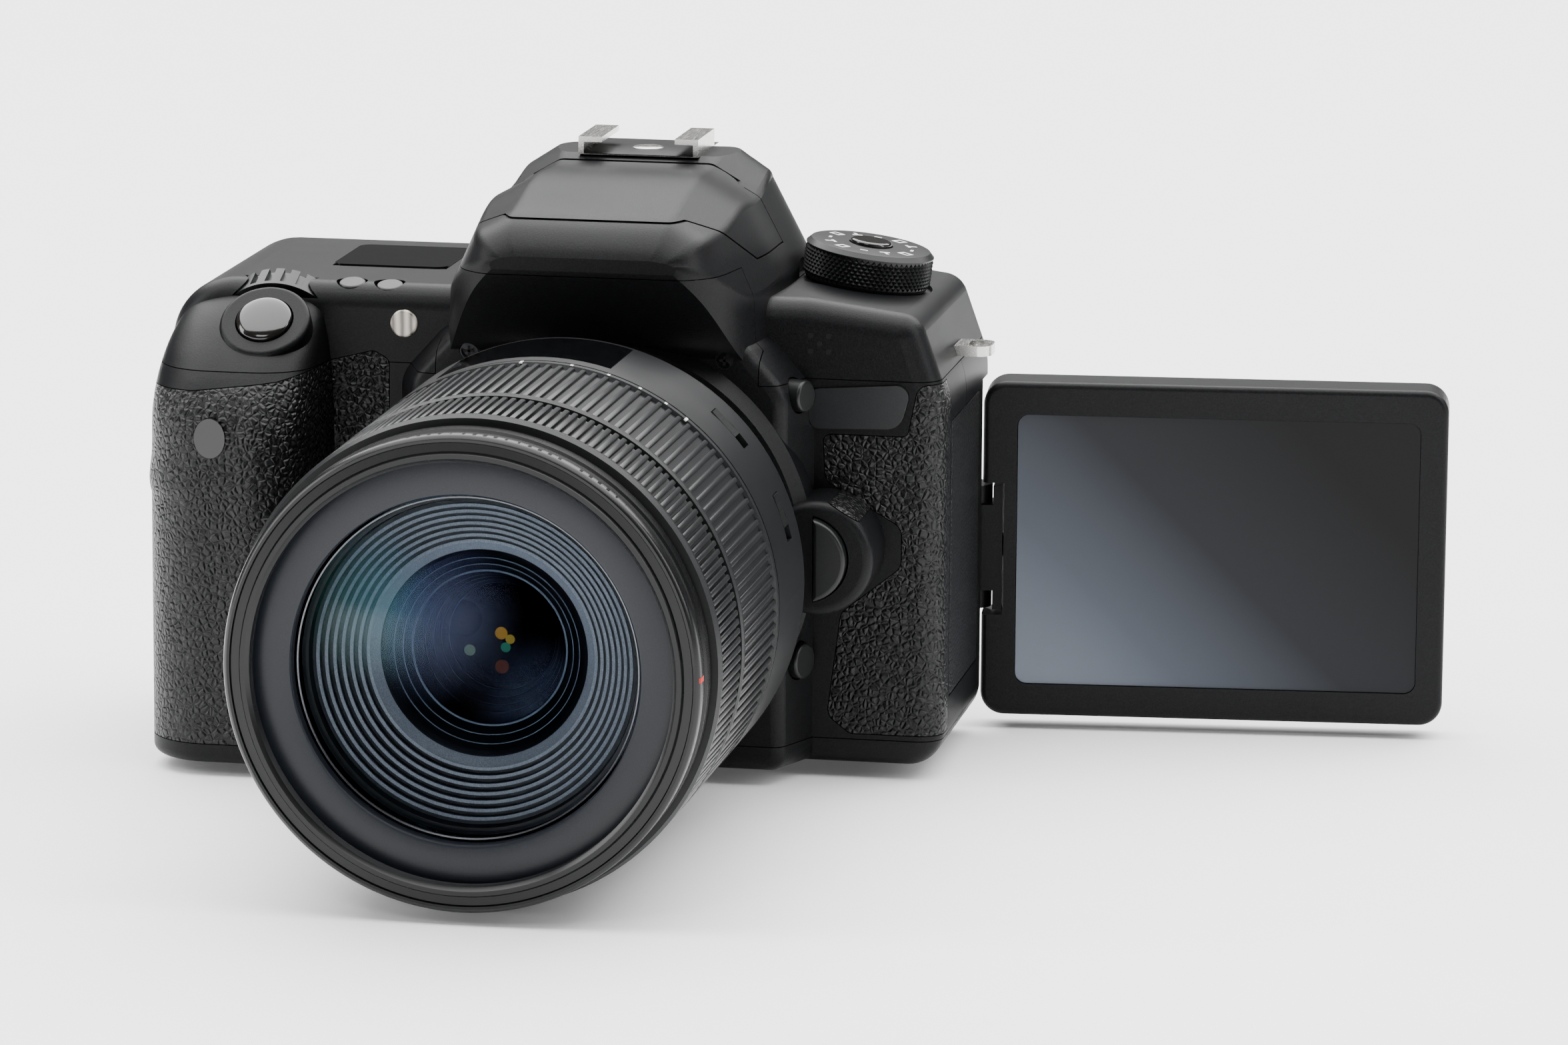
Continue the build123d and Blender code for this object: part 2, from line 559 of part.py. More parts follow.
def knuckle(z0, z1):
    """Hinge knuckle on the rear cover, with a web back to the wall."""
    web = block((swing_x - 3.4, recess_y - wall - 0.5, z0), (swing_x + 1.2, swing_y, z1))
    return (rod((swing_x, swing_y, z0), (swing_x, swing_y, z1), knuckle_r) + web
            - rod((swing_x, swing_y, z0 - 1), (swing_x, swing_y, z1 + 1), swing_pin_r + run))


knuckles = knuckle(tilt_z - knuckle_half, tilt_z - arm_half - gap / 2)
knuckles += knuckle(tilt_z + arm_half + gap / 2, tilt_z + knuckle_half)

parts["front_cover"] = largest((shell & front_zone) - skin_pockets - cut_all)
parts["rear_cover"] = largest((((shell & rear_zone) + (dial_cup & outer & rear_zone)) - cut_all) + knuckles)
upper_space = (inner & block((-big, -big, 60), (big, big, big))) - flash_well
top_body = ((outer & top_zone) - flash_hole) - upper_space
top_body += (pad & top_zone - inner) + (dial_boss & outer)
parts["top_cover"] = largest(top_body - cut_all - skin_pockets)
parts["base_cover"] = largest((shell & base_zone) - skin_pockets - cut_all)

# thumb rest on the back
thumb = prism(rounded(front_plane(back_y + 2.6), [(-73.4, 33), (-73.0, 56.5), (-60, 56.5), (-64.4, 33)],
                      [3, 4, 4, 3]), forwards, 2.6)
parts["thumb_rubber"] = fillet(thumb.faces().sort_by(Axis.Y)[-1].edges(), 1.6)

# ---- flash window, hot shoe ------------------------------------------------------------------------------
window_bar = block((-12.5, -33.3, 87.4), (12.5, -28.6, 96.0))
parts["flash_window"] = largest(window_bar & roof_core)
shoe_y0, shoe_y1, rail_y1 = -6.2, 12.2, 8.0
rail_t = 0.9
shoe = block((-shoe_slot / 2 - rail_t, shoe_y0, hump_z), (shoe_slot / 2 + rail_t, shoe_y1, hump_z + 0.1))
rails = shoe
for side in (-1, 1):
    x_in, x_out = side * shoe_slot / 2, side * (shoe_slot / 2 + rail_t)
    rails += block((min(x_in, x_out), shoe_y0, hump_z), (max(x_in, x_out), rail_y1, rail_top_z))
    x_lip = side * (shoe_slot / 2 - 3.1)
    rails += block((min(x_lip, x_out), shoe_y0, hump_z + 0.1 + shoe_height), (max(x_lip, x_out), rail_y1, rail_top_z))
parts["hot_shoe"] = rails

# ---- inside the body ---------------------------------------------------------------------------------------
box_out, box_in = 21.0, 18.0
mirror_box = block((-box_out, -33.6, 13.5), (box_out, -6.0, 58.0)) - block((-box_in, -40, 16.5), (box_in, 0, 70))
parts["mirror_box"] = mirror_box
mirror_y, mirror_z, mirror_len, mirror_t = -9.6, 49.0, 24.0, 1.5
mirror_plane = Plane(origin=(0, mirror_y, mirror_z), x_dir=(1, 0, 0), z_dir=(0, -1, 1))
mirror = extrude(mirror_plane * Pos(0, -mirror_len / 2) * Rectangle(27.0, mirror_len), -mirror_t)
mirror += rod((-16.5, mirror_y + 0.4, mirror_z - 0.6), (16.5, mirror_y + 0.4, mirror_z - 0.6), 0.9)
parts["main_mirror"] = mirror
shutter = block((-box_out, -5.7, 14.0), (box_out, -2.4, 58.0))
shutter -= block((-12.4, -6.5, lens_z - 8.4), (12.4, -3.6, lens_z + 8.4))
parts["shutter_unit"] = shutter
parts["image_sensor"] = block((-14, -1.0, lens_z - 11), (14, 2.0, lens_z + 11))
penta_outline = [(-33, 60.5), (-35, 72), (-24, 81.4), (-8, 81.4), (4.6, 76), (4.6, 66), (-6, 60.5)]
parts["pentamirror"] = prism(side_plane(-16) * make_face(Polyline(*penta_outline, close=True)), sideways, 32)
parts["eyepiece_lens"] = block((-9.2, 13.0, 72.3), (9.2, 17.0, 82.7))
cup_outline = [(-eye_x + 0.4, 66.6), (-eye_x + 1.4, 88.6), (eye_x - 1.4, 88.6), (eye_x - 0.4, 66.6)]
cup = prism(rounded(front_plane(eye_y + 4.1), cup_outline, 4.5), forwards, 4.0)
cup = fillet(cup.faces().sort_by(Axis.Y)[-1].edges(), 1.5)
parts["eyecup"] = cup - block((-11.5, 10, 70.6), (11.5, 40, 84.4))
parts["battery_pack"] = block((-66.5, -43.5, 3.2), (-52.3, -11.0, 48.6))

# ---- lens -----------------------------------------------------------------------------------------------------
sleeve_in = sleeve_r - sleeve_t
barrel = turned([
    (22.0, -38.6), (throat_r - 0.3, -38.6), (throat_r - 0.3, flange_y - 0.1), (ring_r + 0.6, flange_y - 0.1),
    (33.8, -47.5), (37.6, -57.0), (barrel_r, -61.0), (barrel_r, zoom_back_y + seam), (sleeve_r, zoom_back_y + seam),
    (sleeve_r, focus_front_y), (sleeve_in, focus_front_y), (sleeve_in, -62.0), (30.0, -50.0), (22.0, -47.0),
])


def switch(angle, y, travel):
    """Slide switch in a recess of the fixed barrel, angle from the top; returns slider and recess."""
    a = radians(angle)
    radial, tangent = Vector(sin(a), 0, cos(a)), Vector(cos(a), 0, -sin(a))
    floor = Vector(0, y, lens_z) + radial * (barrel_r - 1.3)
    plane = Plane(origin=tuple(floor), x_dir=tuple(tangent), z_dir=tuple(radial))
    slider = extrude(plane * Pos(-travel / 2, 0) * Rectangle(5.4, 3.4), 1.3)
    pocket = extrude(plane * Rectangle(5.4 + travel + 2 * 0.15, 3.7), 4)
    return slider, pocket


switch_travel = 2.2
slider_a, pocket_a = switch(46.5, -69.4, switch_travel)
slider_b, pocket_b = switch(71.2, -69.0, switch_travel)
parts["focus_mode_switch"] = slider_a
parts["stabiliser_switch"] = slider_b
parts["fixed_barrel"] = barrel - pocket_a - pocket_b

ring_in = sleeve_r + run
parts["zoom_ring"] = turned([
    (ring_in, zoom_back_y - seam), (barrel_r - 0.1, zoom_back_y - seam), (barrel_r + 0.1, zoom_back_y - 3),
    (barrel_r + 0.1, zoom_front_y + 1.0), (barrel_r - 0.4, zoom_front_y + 0.2), (ring_in, zoom_front_y + 0.2),
])
parts["focus_ring"] = turned([
    (ring_in, zoom_front_y - 0.3), (barrel_r - 0.6, zoom_front_y - 0.3), (barrel_r - 0.1, zoom_front_y - 1.0),
    (barrel_r - 0.1, focus_front_y + 1.6), (barrel_r - 0.8, focus_front_y + 0.2), (ring_in, focus_front_y + 0.2),
])
tube_r = sleeve_in - 0.1
tube_in = tube_r - 2.2
parts["front_barrel"] = turned([
    (tube_in, -70.0), (tube_r, -70.0), (tube_r, focus_front_y - 0.3), (rim_r - 0.5, focus_front_y - 0.3),
    (rim_r, focus_front_y - 1.0), (rim_r, rim_y + 0.8), (rim_r - 0.8, rim_y), (thread_r, rim_y),
    (thread_r, rim_y + thread_len), (tube_in, rim_y + thread_len),
])
seat_y = rim_y + thread_len
parts["name_ring"] = turned([
    (tube_in - run, seat_y + 3.4), (tube_in - run, seat_y + 0.2), (name_r, seat_y + 0.7),
    (name_r - 0.6, seat_y + 1.1), (name_r - 0.6, seat_y + 3.4),
])
glass_r = name_r - 0.7
lens_plane = Plane(origin=(0, 0, lens_z), x_dir=(1, 0, 0), z_dir=(0, 0, 1))
dome = seat_y + 0.3
front_lens = lens_plane * make_face(
    ThreePointArc((0, dome), (glass_r * 0.55, dome + 1.6), (glass_r, dome + 5.0))
    + Line((glass_r, dome + 5.0), (glass_r, dome + 7.6)) + Line((glass_r, dome + 7.6), (0, dome + 7.6))
    + Line((0, dome + 7.6), (0, dome)))
parts["front_element"] = revolve(front_lens, Axis((0, 0, lens_z), (0, 1, 0)))
baffle_steps = 6
baffle_back = dome + 24.0
baffle_front = dome + 7.9
step_r, step_y = 1.7, (baffle_back - baffle_front) / baffle_steps
baffle_points = [(glass_r, baffle_front), (glass_r, baffle_back)]
radius = glass_r - 1.0 - step_r * baffle_steps
baffle_points.append((radius, baffle_back))
for k in range(baffle_steps):
    y = baffle_back - step_y * (k + 1)
    baffle_points.append((radius, y))
    radius += step_r
    if k < baffle_steps - 1:
        baffle_points.append((radius, y))
baffle_points.append((glass_r - 1.0, baffle_front))
parts["lens_baffle"] = turned(baffle_points)
cell = ring_cut(14.0, 29.6, -84.0, -88.0) + ring_cut(0, 14.0, -83.0, -89.0)
rear_group = ring_cut(0, 21.7, -39.6, -46.0)
parts["inner_lens"] = Compound(children=[cell, rear_group])

# ---- screen -----------------------------------------------------------------------------------------------------
turn = radians(rest_turn)
along = Vector(cos(turn), sin(turn), 0)
facing = Vector(sin(turn), -cos(turn), 0)
hinge = Plane(origin=(swing_x, swing_y, tilt_z), x_dir=tuple(along), z_dir=tuple(facing))
# local x runs out along the tilt axis, local y is up, local z faces the way the screen faces

mid = screen_near + screen_w / 2
housing = extrude(hinge.offset(-screen_t / 2) * Pos(mid, 0) * RectangleRounded(screen_w, screen_h, 4.0), screen_t)
housing = fillet(housing.faces().sort_by(Axis((0, 0, 0), tuple(facing)))[-1].edges(), 1.0)
housing -= extrude(hinge.offset(-screen_t) * Pos(screen_near + notch_w / 2 - 2, 0) * Rectangle(notch_w + 4, notch_h),
                   2 * screen_t)
glass_mid = mid + 0.6
glass_t, bezel = 1.2, 0.4
housing -= extrude(hinge.offset(screen_t / 2 - bezel - glass_t) * Pos(glass_mid, 0)
                   * RectangleRounded(glass_w + 0.2, glass_h + 0.2, 2.0), 5)
shaft_end = screen_near + notch_w + 9.0
housing -= hinge * Rot(0, 90, 0) * Pos(0, 0, (screen_near + shaft_end + 0.3) / 2) * Cylinder(
    tilt_shaft_r + run, shaft_end + 0.3 - screen_near)
parts["screen_housing"] = housing
parts["screen_glass"] = extrude(hinge.offset(screen_t / 2 - bezel - glass_t) * Pos(glass_mid, 0)
                                * RectangleRounded(glass_w, glass_h, 1.9), glass_t)
arm = rod((swing_x, swing_y, tilt_z - arm_half), (swing_x, swing_y, tilt_z + arm_half), knuckle_r)
arm += rod((swing_x, swing_y, tilt_z - knuckle_half + 0.4), (swing_x, swing_y, tilt_z + knuckle_half - 0.4), swing_pin_r)
arm += extrude(hinge.offset(-knuckle_r) * Pos((screen_near + notch_w - gap) / 2, 0)
               * Rectangle(screen_near + notch_w - gap, 2 * arm_half), 2 * knuckle_r)
plate_near, plate_far = knuckle_r + gap, screen_near + notch_w - gap
arm += extrude(hinge.offset(-knuckle_r) * Pos((plate_near + plate_far) / 2, 0)
               * Rectangle(plate_far - plate_near, notch_h - 1.4), 2 * knuckle_r)
arm += hinge * Rot(0, 90, 0) * Pos(0, 0, (screen_near + notch_w - 1 + shaft_end) / 2) * Cylinder(
    tilt_shaft_r, shaft_end - screen_near - notch_w + 1)
parts["screen_arm"] = arm

# ---- write the parts ---------------------------------------------------------------------------------------------
os.makedirs("parts", exist_ok=True)
for name, shape in parts.items():
    export_step(shape, f"parts/{name}.step")
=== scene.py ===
import bpy
import bmesh
import math
from mathutils import Matrix, Vector


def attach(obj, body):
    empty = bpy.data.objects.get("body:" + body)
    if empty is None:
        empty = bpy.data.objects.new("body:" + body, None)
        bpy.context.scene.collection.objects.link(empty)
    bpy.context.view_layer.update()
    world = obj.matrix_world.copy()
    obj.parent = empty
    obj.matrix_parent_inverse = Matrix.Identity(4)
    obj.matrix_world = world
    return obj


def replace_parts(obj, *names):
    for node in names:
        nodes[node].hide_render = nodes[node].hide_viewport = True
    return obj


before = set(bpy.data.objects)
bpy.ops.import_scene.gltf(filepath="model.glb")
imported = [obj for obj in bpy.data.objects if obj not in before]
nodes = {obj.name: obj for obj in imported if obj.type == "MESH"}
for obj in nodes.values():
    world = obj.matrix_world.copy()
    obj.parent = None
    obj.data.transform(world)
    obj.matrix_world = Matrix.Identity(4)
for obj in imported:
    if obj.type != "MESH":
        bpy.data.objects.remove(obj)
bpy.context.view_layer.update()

# ---- Body covers -----------------------------------------------------------------------------
# Four glass-filled polycarbonate mouldings, spark-eroded to a fine satin grain that breaks up
# every highlight. They meet on hairline seams and are held by black screws.
mm = 0.001


def paint(hex_colour, alpha=1.0):
    """Linear colour from an sRGB hex value."""
    channels = []
    for start in (1, 3, 5):
        value = int(hex_colour[start:start + 2], 16) / 255
        channels.append(value / 12.92 if value <= 0.04045 else ((value + 0.055) / 1.055) ** 2.4)
    return (*channels, alpha)


def add(material, kind, inputs=None, **settings):
    """Adds one shader node with its settings; an input is a value or a socket to link."""
    tree = material.node_tree
    node = tree.nodes.new("ShaderNode" + kind)
    for name, value in settings.items():
        setattr(node, name, value)
    for name, value in (inputs or {}).items():
        socket = node.inputs[name]
        if isinstance(value, bpy.types.NodeSocket):
            tree.links.new(value, socket)
        else:
            socket.default_value = value
    return node


def blank(name):
    material = bpy.data.materials.new(name)
    material.use_nodes = True
    material.node_tree.nodes.clear()
    return material


def ramp(material, factor, stops):
    """Colour ramp through (position, colour) stops."""
    node = add(material, "ValToRGB", {"Fac": factor})
    node.color_ramp.elements[0].position, node.color_ramp.elements[0].color = stops[0]
    node.color_ramp.elements[1].position, node.color_ramp.elements[1].color = stops[-1]
    for position, colour in stops[1:-1]:
        node.color_ramp.elements.new(position).color = colour
    return node.outputs["Color"]


def grained(name, dark, light, roughness, grain_mm, depth_mm, **extra):
    """Moulded or cast surface: a fine grain in relief that also speckles the colour."""
    material = blank(name)
    place = add(material, "TexCoord").outputs["Object"]
    grain = add(material, "TexNoise", {"Vector": place, "Scale": 1 / (grain_mm * mm), "Detail": 3.0,
                                       "Roughness": 0.6})
    relief = add(material, "Bump", {"Height": grain.outputs["Fac"], "Distance": depth_mm * mm})
    patchy = add(material, "TexNoise", {"Vector": place, "Scale": 60.0, "Detail": 2.0})
    colour = ramp(material, grain.outputs["Fac"], [(0.38, paint(dark)), (0.68, paint(light))])
    sheen = add(material, "MapRange", {"Value": patchy.outputs["Fac"], "To Min": roughness - 0.04,
                                       "To Max": roughness + 0.05})
    inputs = {"Base Color": colour, "Roughness": sheen.outputs["Result"], "Normal": relief.outputs["Normal"],
              "Specular IOR Level": 0.3}
    inputs.update(extra)
    shader = add(material, "BsdfPrincipled", inputs)
    add(material, "OutputMaterial", {"Surface": shader.outputs["BSDF"]})
    return material


def dress(material, *names):
    """Gives CAD nodes a finish."""
    for name in names:
        node = nodes[name]
        node.data.materials.clear()
        node.data.materials.append(material)


polycarbonate = grained("moulded_polycarbonate", "#050506", "#101113", 0.42, 0.28, 0.03,
                        **{"Specular IOR Level": 0.15})
dress(polycarbonate, "front_cover", "rear_cover", "top_cover", "base_cover", "flash_head", "card_door",
      "battery_door")

# ---- Rubber coverings ------------------------------------------------------------------------
# Moulded synthetic rubber with a coarse leather grain, about 1.1 mm from pebble to pebble, let into
# the covers on the grip and beside the lens. The port cover and thumb rest have a finer grain.


def leathered(name, dark, light, pebble_mm, depth_mm, roughness):
    """Leather-grained rubber: rounded irregular pebbles with creases between them."""
    material = blank(name)
    place = add(material, "TexCoord").outputs["Object"]
    wander = add(material, "TexNoise", {"Vector": place, "Scale": 1 / (1.1 * pebble_mm * mm), "Detail": 2.0})
    bent = add(material, "MixRGB", {"Fac": 0.5 * pebble_mm * mm, "Color1": place,
                                    "Color2": wander.outputs["Color"]}, blend_type="ADD")
    pebbles = add(material, "TexVoronoi", {"Vector": bent.outputs["Color"], "Scale": 1 / (pebble_mm * mm)},
                  feature="DISTANCE_TO_EDGE")
    creases = add(material, "TexNoise", {"Vector": place, "Scale": 1 / (0.6 * pebble_mm * mm), "Detail": 2.0})
    domed = add(material, "MapRange", {"Value": pebbles.outputs["Distance"], "From Max": 0.32},
                interpolation_type="SMOOTHSTEP")
    height = add(material, "MixRGB", {"Fac": 0.18, "Color1": domed.outputs["Result"],
                                      "Color2": creases.outputs["Fac"]})
    relief = add(material, "Bump", {"Height": height.outputs["Color"], "Distance": depth_mm * mm})
    colour = ramp(material, height.outputs["Color"], [(0.1, paint(dark)), (0.75, paint(light))])
    shader = add(material, "BsdfPrincipled", {"Base Color": colour, "Roughness": roughness,
                                              "Specular IOR Level": 0.28, "Normal": relief.outputs["Normal"]})
    add(material, "OutputMaterial", {"Surface": shader.outputs["BSDF"]})
    return material


grip_rubber = leathered("leather_grain_rubber", "#030303", "#121314", 1.1, 0.26, 0.36)
fine_rubber = leathered("fine_grain_rubber", "#060607", "#121314", 0.8, 0.12, 0.44)
soft_rubber = grained("soft_eyecup_rubber", "#0d0d0e", "#191a1b", 0.62, 0.2, 0.02)
dress(grip_rubber, "grip_rubber", "side_rubber")
dress(fine_rubber, "thumb_rubber", "terminal_cover")
dress(soft_rubber, "eyecup")


def piece(name, bm, body, material, sharp=32.0):
    """Turns a finished bmesh into a piece that moves with one body of the camera."""
    mesh = bpy.data.meshes.new(name)
    bm.to_mesh(mesh)
    bm.free()
    mesh.materials.append(material)
    mesh.shade_smooth()
    mesh.set_sharp_from_angle(angle=math.radians(sharp))
    made = bpy.data.objects.new(name, mesh)
    bpy.context.scene.collection.objects.link(made)
    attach(made, body)
    return made


def bar(bm, low, high, round_off=0.0, segments=2):
    """Adds a box between two corners (mm), with rounded edges, and gives back its vertices."""
    made = bmesh.ops.create_cube(bm, size=1.0)["verts"]
    size = [(b - a) * mm for a, b in zip(low, high)]
    middle = [(a + b) / 2 * mm for a, b in zip(low, high)]
    bmesh.ops.scale(bm, vec=size, verts=made)
    bmesh.ops.translate(bm, vec=middle, verts=made)
    if round_off:
        edges = list({edge for vert in made for edge in vert.link_edges})
        bevelled = bmesh.ops.bevel(bm, geom=edges, offset=round_off * mm, affect="EDGES", segments=segments,
                                   profile=0.5, material=-1)
        rounded = {vert for face in bevelled["faces"] for vert in face.verts}
        made = list(rounded | {vert for vert in made if vert.is_valid})
    return made


def lathe(bm, points, steps=96, place=None):
    """Adds a solid turned about its own Z axis from (radius, height) points in mm."""
    ring = [bm.verts.new((r * mm, 0, h * mm)) for r, h in points]
    edges = [bm.edges.new(pair) for pair in zip(ring, ring[1:])]
    bmesh.ops.spin(bm, geom=ring + edges, cent=(0, 0, 0), axis=(0, 0, 1), dvec=(0, 0, 0),
                   angle=2 * math.pi, steps=steps, use_merge=True)
    bmesh.ops.remove_doubles(bm, verts=bm.verts, dist=1e-7)
    bmesh.ops.recalc_face_normals(bm, faces=bm.faces)
    if place is not None:
        bmesh.ops.transform(bm, matrix=place, verts=bm.verts)


def add_lathe(bm, points, steps=96, shift=(0, 0, 0)):
    """Adds one more turned solid to a mesh that already holds others."""
    ring = bmesh.new()
    closed = points[0][0] > 0
    lathe(ring, points + points[:1] if closed else points, steps, Matrix.Translation(shift))
    carrier = bpy.data.meshes.new("carrier")
    ring.to_mesh(carrier)
    ring.free()
    bm.from_mesh(carrier)
    bpy.data.meshes.remove(carrier)


# ---- Badge plate and cover screws ------------------------------------------------------------
# The badge is a smooth satin plate let in beside the lens mount, left plain. The cover screws are
# small black cross-head screws sunk flush in the front.
badge_satin = grained("satin_badge_lacquer", "#141516", "#1f2022", 0.28, 0.12, 0.004,
                      **{"Coat Weight": 0.3, "Coat Roughness": 0.18})
screw_black = grained("black_oxide_steel", "#2b2c2e", "#3c3d3f", 0.32, 0.1, 0.004, Metallic=0.7)
dress(badge_satin, "badge_plate")
screws = bmesh.new()
screw_plan = [(x, -40.0, 68.8) for x in (-21.3, 21.3)]
for x, y, z in screw_plan:
    add_lathe(screws, [(0, -0.1), (1.32, -0.1), (1.48, -0.22), (1.48, -1.0), (0, -1.0)], 32,
              (x * mm, z * mm, -y * mm))
bmesh.ops.transform(screws, matrix=Matrix.Rotation(math.radians(90), 4, "X"), verts=screws.verts)
piece("front_screw_heads", screws, "body", screw_black)
cross_dark = grained("screw_cross_shadow", "#020202", "#060606", 0.7, 0.1, 0.002)
crosses = bmesh.new()
for x, y, z in screw_plan:
    bar(crosses, (x - 0.85, y + 0.06, z - 0.2), (x + 0.85, y + 0.3, z + 0.2))
    bar(crosses, (x - 0.2, y + 0.06, z - 0.85), (x + 0.2, y + 0.3, z + 0.85))
piece("front_screw_crosses", crosses, "body", cross_dark)
dress(screw_black, "cover_screws")

# ---- Pop-up flash and accessory shoe ---------------------------------------------------------
# The flash is the front of the finder hump and lifts on a pin across the roof. The shoe is folded
# stainless strip over a black base, with a middle contact.
flash_lens = grained("ribbed_flash_window", "#a9aba6", "#d2d3ce", 0.18, 0.8, 0.05)
dress(flash_lens, "flash_window")


def brushed(name, dark, light, roughness, stretch, fine_mm=0.12):
    """Metal with fine lines along one direction."""
    material = blank(name)
    place = add(material, "TexCoord").outputs["Object"]
    along = add(material, "Mapping", {"Vector": place, "Scale": stretch})
    lines = add(material, "TexNoise", {"Vector": along.outputs["Vector"], "Scale": 1 / (fine_mm * mm),
                                       "Detail": 2.0})
    colour = ramp(material, lines.outputs["Fac"], [(0.3, paint(dark)), (0.7, paint(light))])
    sheen = add(material, "MapRange", {"Value": lines.outputs["Fac"], "To Min": roughness - 0.06,
                                       "To Max": roughness + 0.08})
    relief = add(material, "Bump", {"Height": lines.outputs["Fac"], "Distance": 0.003 * mm})
    shader = add(material, "BsdfPrincipled", {"Base Color": colour, "Metallic": 1.0,
                                              "Roughness": sheen.outputs["Result"],
                                              "Normal": relief.outputs["Normal"]})
    add(material, "OutputMaterial", {"Surface": shader.outputs["BSDF"]})
    return material


stainless = brushed("folded_stainless_strip", "#a9a8a4", "#dcdbd7", 0.24, (1, 0.05, 1))
dress(stainless, "hot_shoe", "strap_lugs")
shoe_base = bmesh.new()
bar(shoe_base, (-9.2, -6.1, 96.95), (9.2, 12.0, 97.12), 0.05)
piece("shoe_base", shoe_base, "body", polycarbonate)
contact = bmesh.new()
lathe(contact, [(0, 0.32), (2.4, 0.32), (2.6, 0.2), (2.6, 0), (0, 0)], 32,
      Matrix.Translation((0, 2.5 * mm, 97.0 * mm)))
piece("shoe_contact", contact, "body", stainless)

# ---- Shutter button, main dial, top buttons and top window -----------------------------------
# The release is a polished domed cap in a raised pad. The wheel behind it is moulded with coarse
# teeth, and the information window is a smoked acrylic sheet.
polished_black = grained("polished_black_cap", "#0d0b0a", "#15120f", 0.16, 2.5, 0.001, **{"Coat Weight": 0.6})
smoked = grained("smoked_acrylic", "#050506", "#08090a", 0.07, 3.0, 0.0005, **{"Coat Weight": 0.4})
dial_moulding = grained("satin_dial_moulding", "#0a0b0b", "#151617", 0.36, 0.15, 0.006)
key_moulding = grained("satin_key_moulding", "#0d0e0e", "#161718", 0.36, 0.14, 0.006)
shutter_axis = Vector((0, -0.64, 0.77)).normalized()
shutter_foot = Vector((-56.3, -37.4, 71.6)) * mm
dome = [(4.6 * math.sin(math.radians(t)), 1.2 + 1.0 * math.cos(math.radians(t))) for t in range(0, 91, 9)]
shutter_cap = bmesh.new()
lathe(shutter_cap, dome + [(4.6, -3.4), (0, -3.4)], 64, Matrix.Translation(shutter_foot)
      @ shutter_axis.to_track_quat("Z", "Y").to_matrix().to_4x4())
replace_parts(piece("shutter_cap", shutter_cap, "shutter_release", polished_black, 60.0),
            "shutter_button")
dress(smoked, "top_window", "remote_window")
dress(dial_moulding, "main_dial", "quick_dial", "dioptre_dial", "mode_dial")
dress(key_moulding, "iso_button", "area_button", "power_switch", "flash_button", "preview_button",
      "lens_release", "set_button", "menu_button", "info_button", "playback_button", "af_button",
      "lock_button")

# ---- Mode dial -------------------------------------------------------------------------------
# A moulded knob with a diamond knurl round its rim, a satin top edge and pad-printed marks, and a
# polished lock button in the middle. It leans outwards on the shoulder.
dial_lean = math.radians(8)
dial_place = Matrix.Translation((38.3 * mm, -4.0 * mm, 76.6 * mm)) @ Matrix.Rotation(dial_lean, 4, "Y")
knurl_r, knurl_low, knurl_high, knurl_rows, knurl_columns = 10.35, 0.7, 5.5, 8, 132
knob = bmesh.new()
rows = [bmesh.ops.create_circle(knob, segments=knurl_columns, radius=knurl_r * mm)["verts"]
        for _ in range(knurl_rows + 1)]
for level, verts in enumerate(rows):
    height = knurl_low + (knurl_high - knurl_low) * level / knurl_rows
    bmesh.ops.translate(knob, vec=(0, 0, height * mm), verts=verts)
for lower, upper in zip(rows, rows[1:]):
    edges = [e for e in knob.edges if all(v in lower for v in e.verts) or all(v in upper for v in e.verts)]
    bmesh.ops.bridge_loops(knob, edges=edges)
knob.verts.index_update()
raised = set()
for level, verts in enumerate(rows):
    for column, vert in enumerate(verts):
        if (level + column) % 2 == 0 and 0 < level < knurl_rows:
            raised.add(vert)
for face in list(knob.faces):
    low = [v for v in face.verts if v not in raised and (v.index // knurl_columns + v.index) % 2 == 1]
    if len(low) == 2 and len(face.verts) == 4:
        bmesh.utils.face_split(face, low[0], low[1])
for vert in raised:
    vert.co.x *= 10.78 / knurl_r
    vert.co.y *= 10.78 / knurl_r
add_lathe(knob, [(0, 0.2), (10.2, 0.2), (10.4, 0.7), (10.35, 0.72), (9.0, 1.0), (9.0, 5.3), (10.35, 5.5),
                 (10.75, 5.6), (10.75, 5.8), (10.0, 6.55), (9.6, 6.6), (3.7, 6.6), (3.65, 3.7), (0, 3.6)],
          knurl_columns)
bmesh.ops.transform(knob, matrix=dial_place, verts=knob.verts)
bmesh.ops.recalc_face_normals(knob, faces=knob.faces)
mode_knob = piece("mode_dial_knob", knob, "mode_knob", dial_moulding, 20.0)
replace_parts(mode_knob, "mode_dial")
dress(polished_black, "mode_dial_lock")
printed_white = grained("pad_printed_white", "#c9cac8", "#e4e5e2", 0.45, 0.3, 0.001)
marks = bmesh.new()
mark_angles = [k * 30 for k in range(12)]
for index, angle in enumerate(mark_angles):
    made = bar(marks, (-0.9 if index % 3 else -0.25, 6.4, 6.6), (0.9 if index % 3 else 0.25, 6.9, 6.62))
    if index % 3 == 0:
        bmesh.ops.translate(marks, vec=(0, 0.3 * mm, 0), verts=made)
        bmesh.ops.scale(marks, vec=(2.6, 1, 1), verts=made)
    elif index % 3 == 1:
        made += bar(marks, (-0.25, 6.9, 6.6), (0.25, 8.2, 6.62))
    else:
        made += bar(marks, (-0.9, 6.9, 6.6), (-0.5, 8.2, 6.62))
        made += bar(marks, (0.5, 6.9, 6.6), (0.9, 8.2, 6.62))
        made += bar(marks, (-0.9, 8.2, 6.6), (0.9, 8.55, 6.62))
    bmesh.ops.rotate(marks, cent=(0, 0, 0), matrix=Matrix.Rotation(math.radians(angle), 3, "Z"), verts=made)
bmesh.ops.transform(marks, matrix=dial_place, verts=marks.verts)
piece("mode_dial_marks", marks, "mode_knob", printed_white)

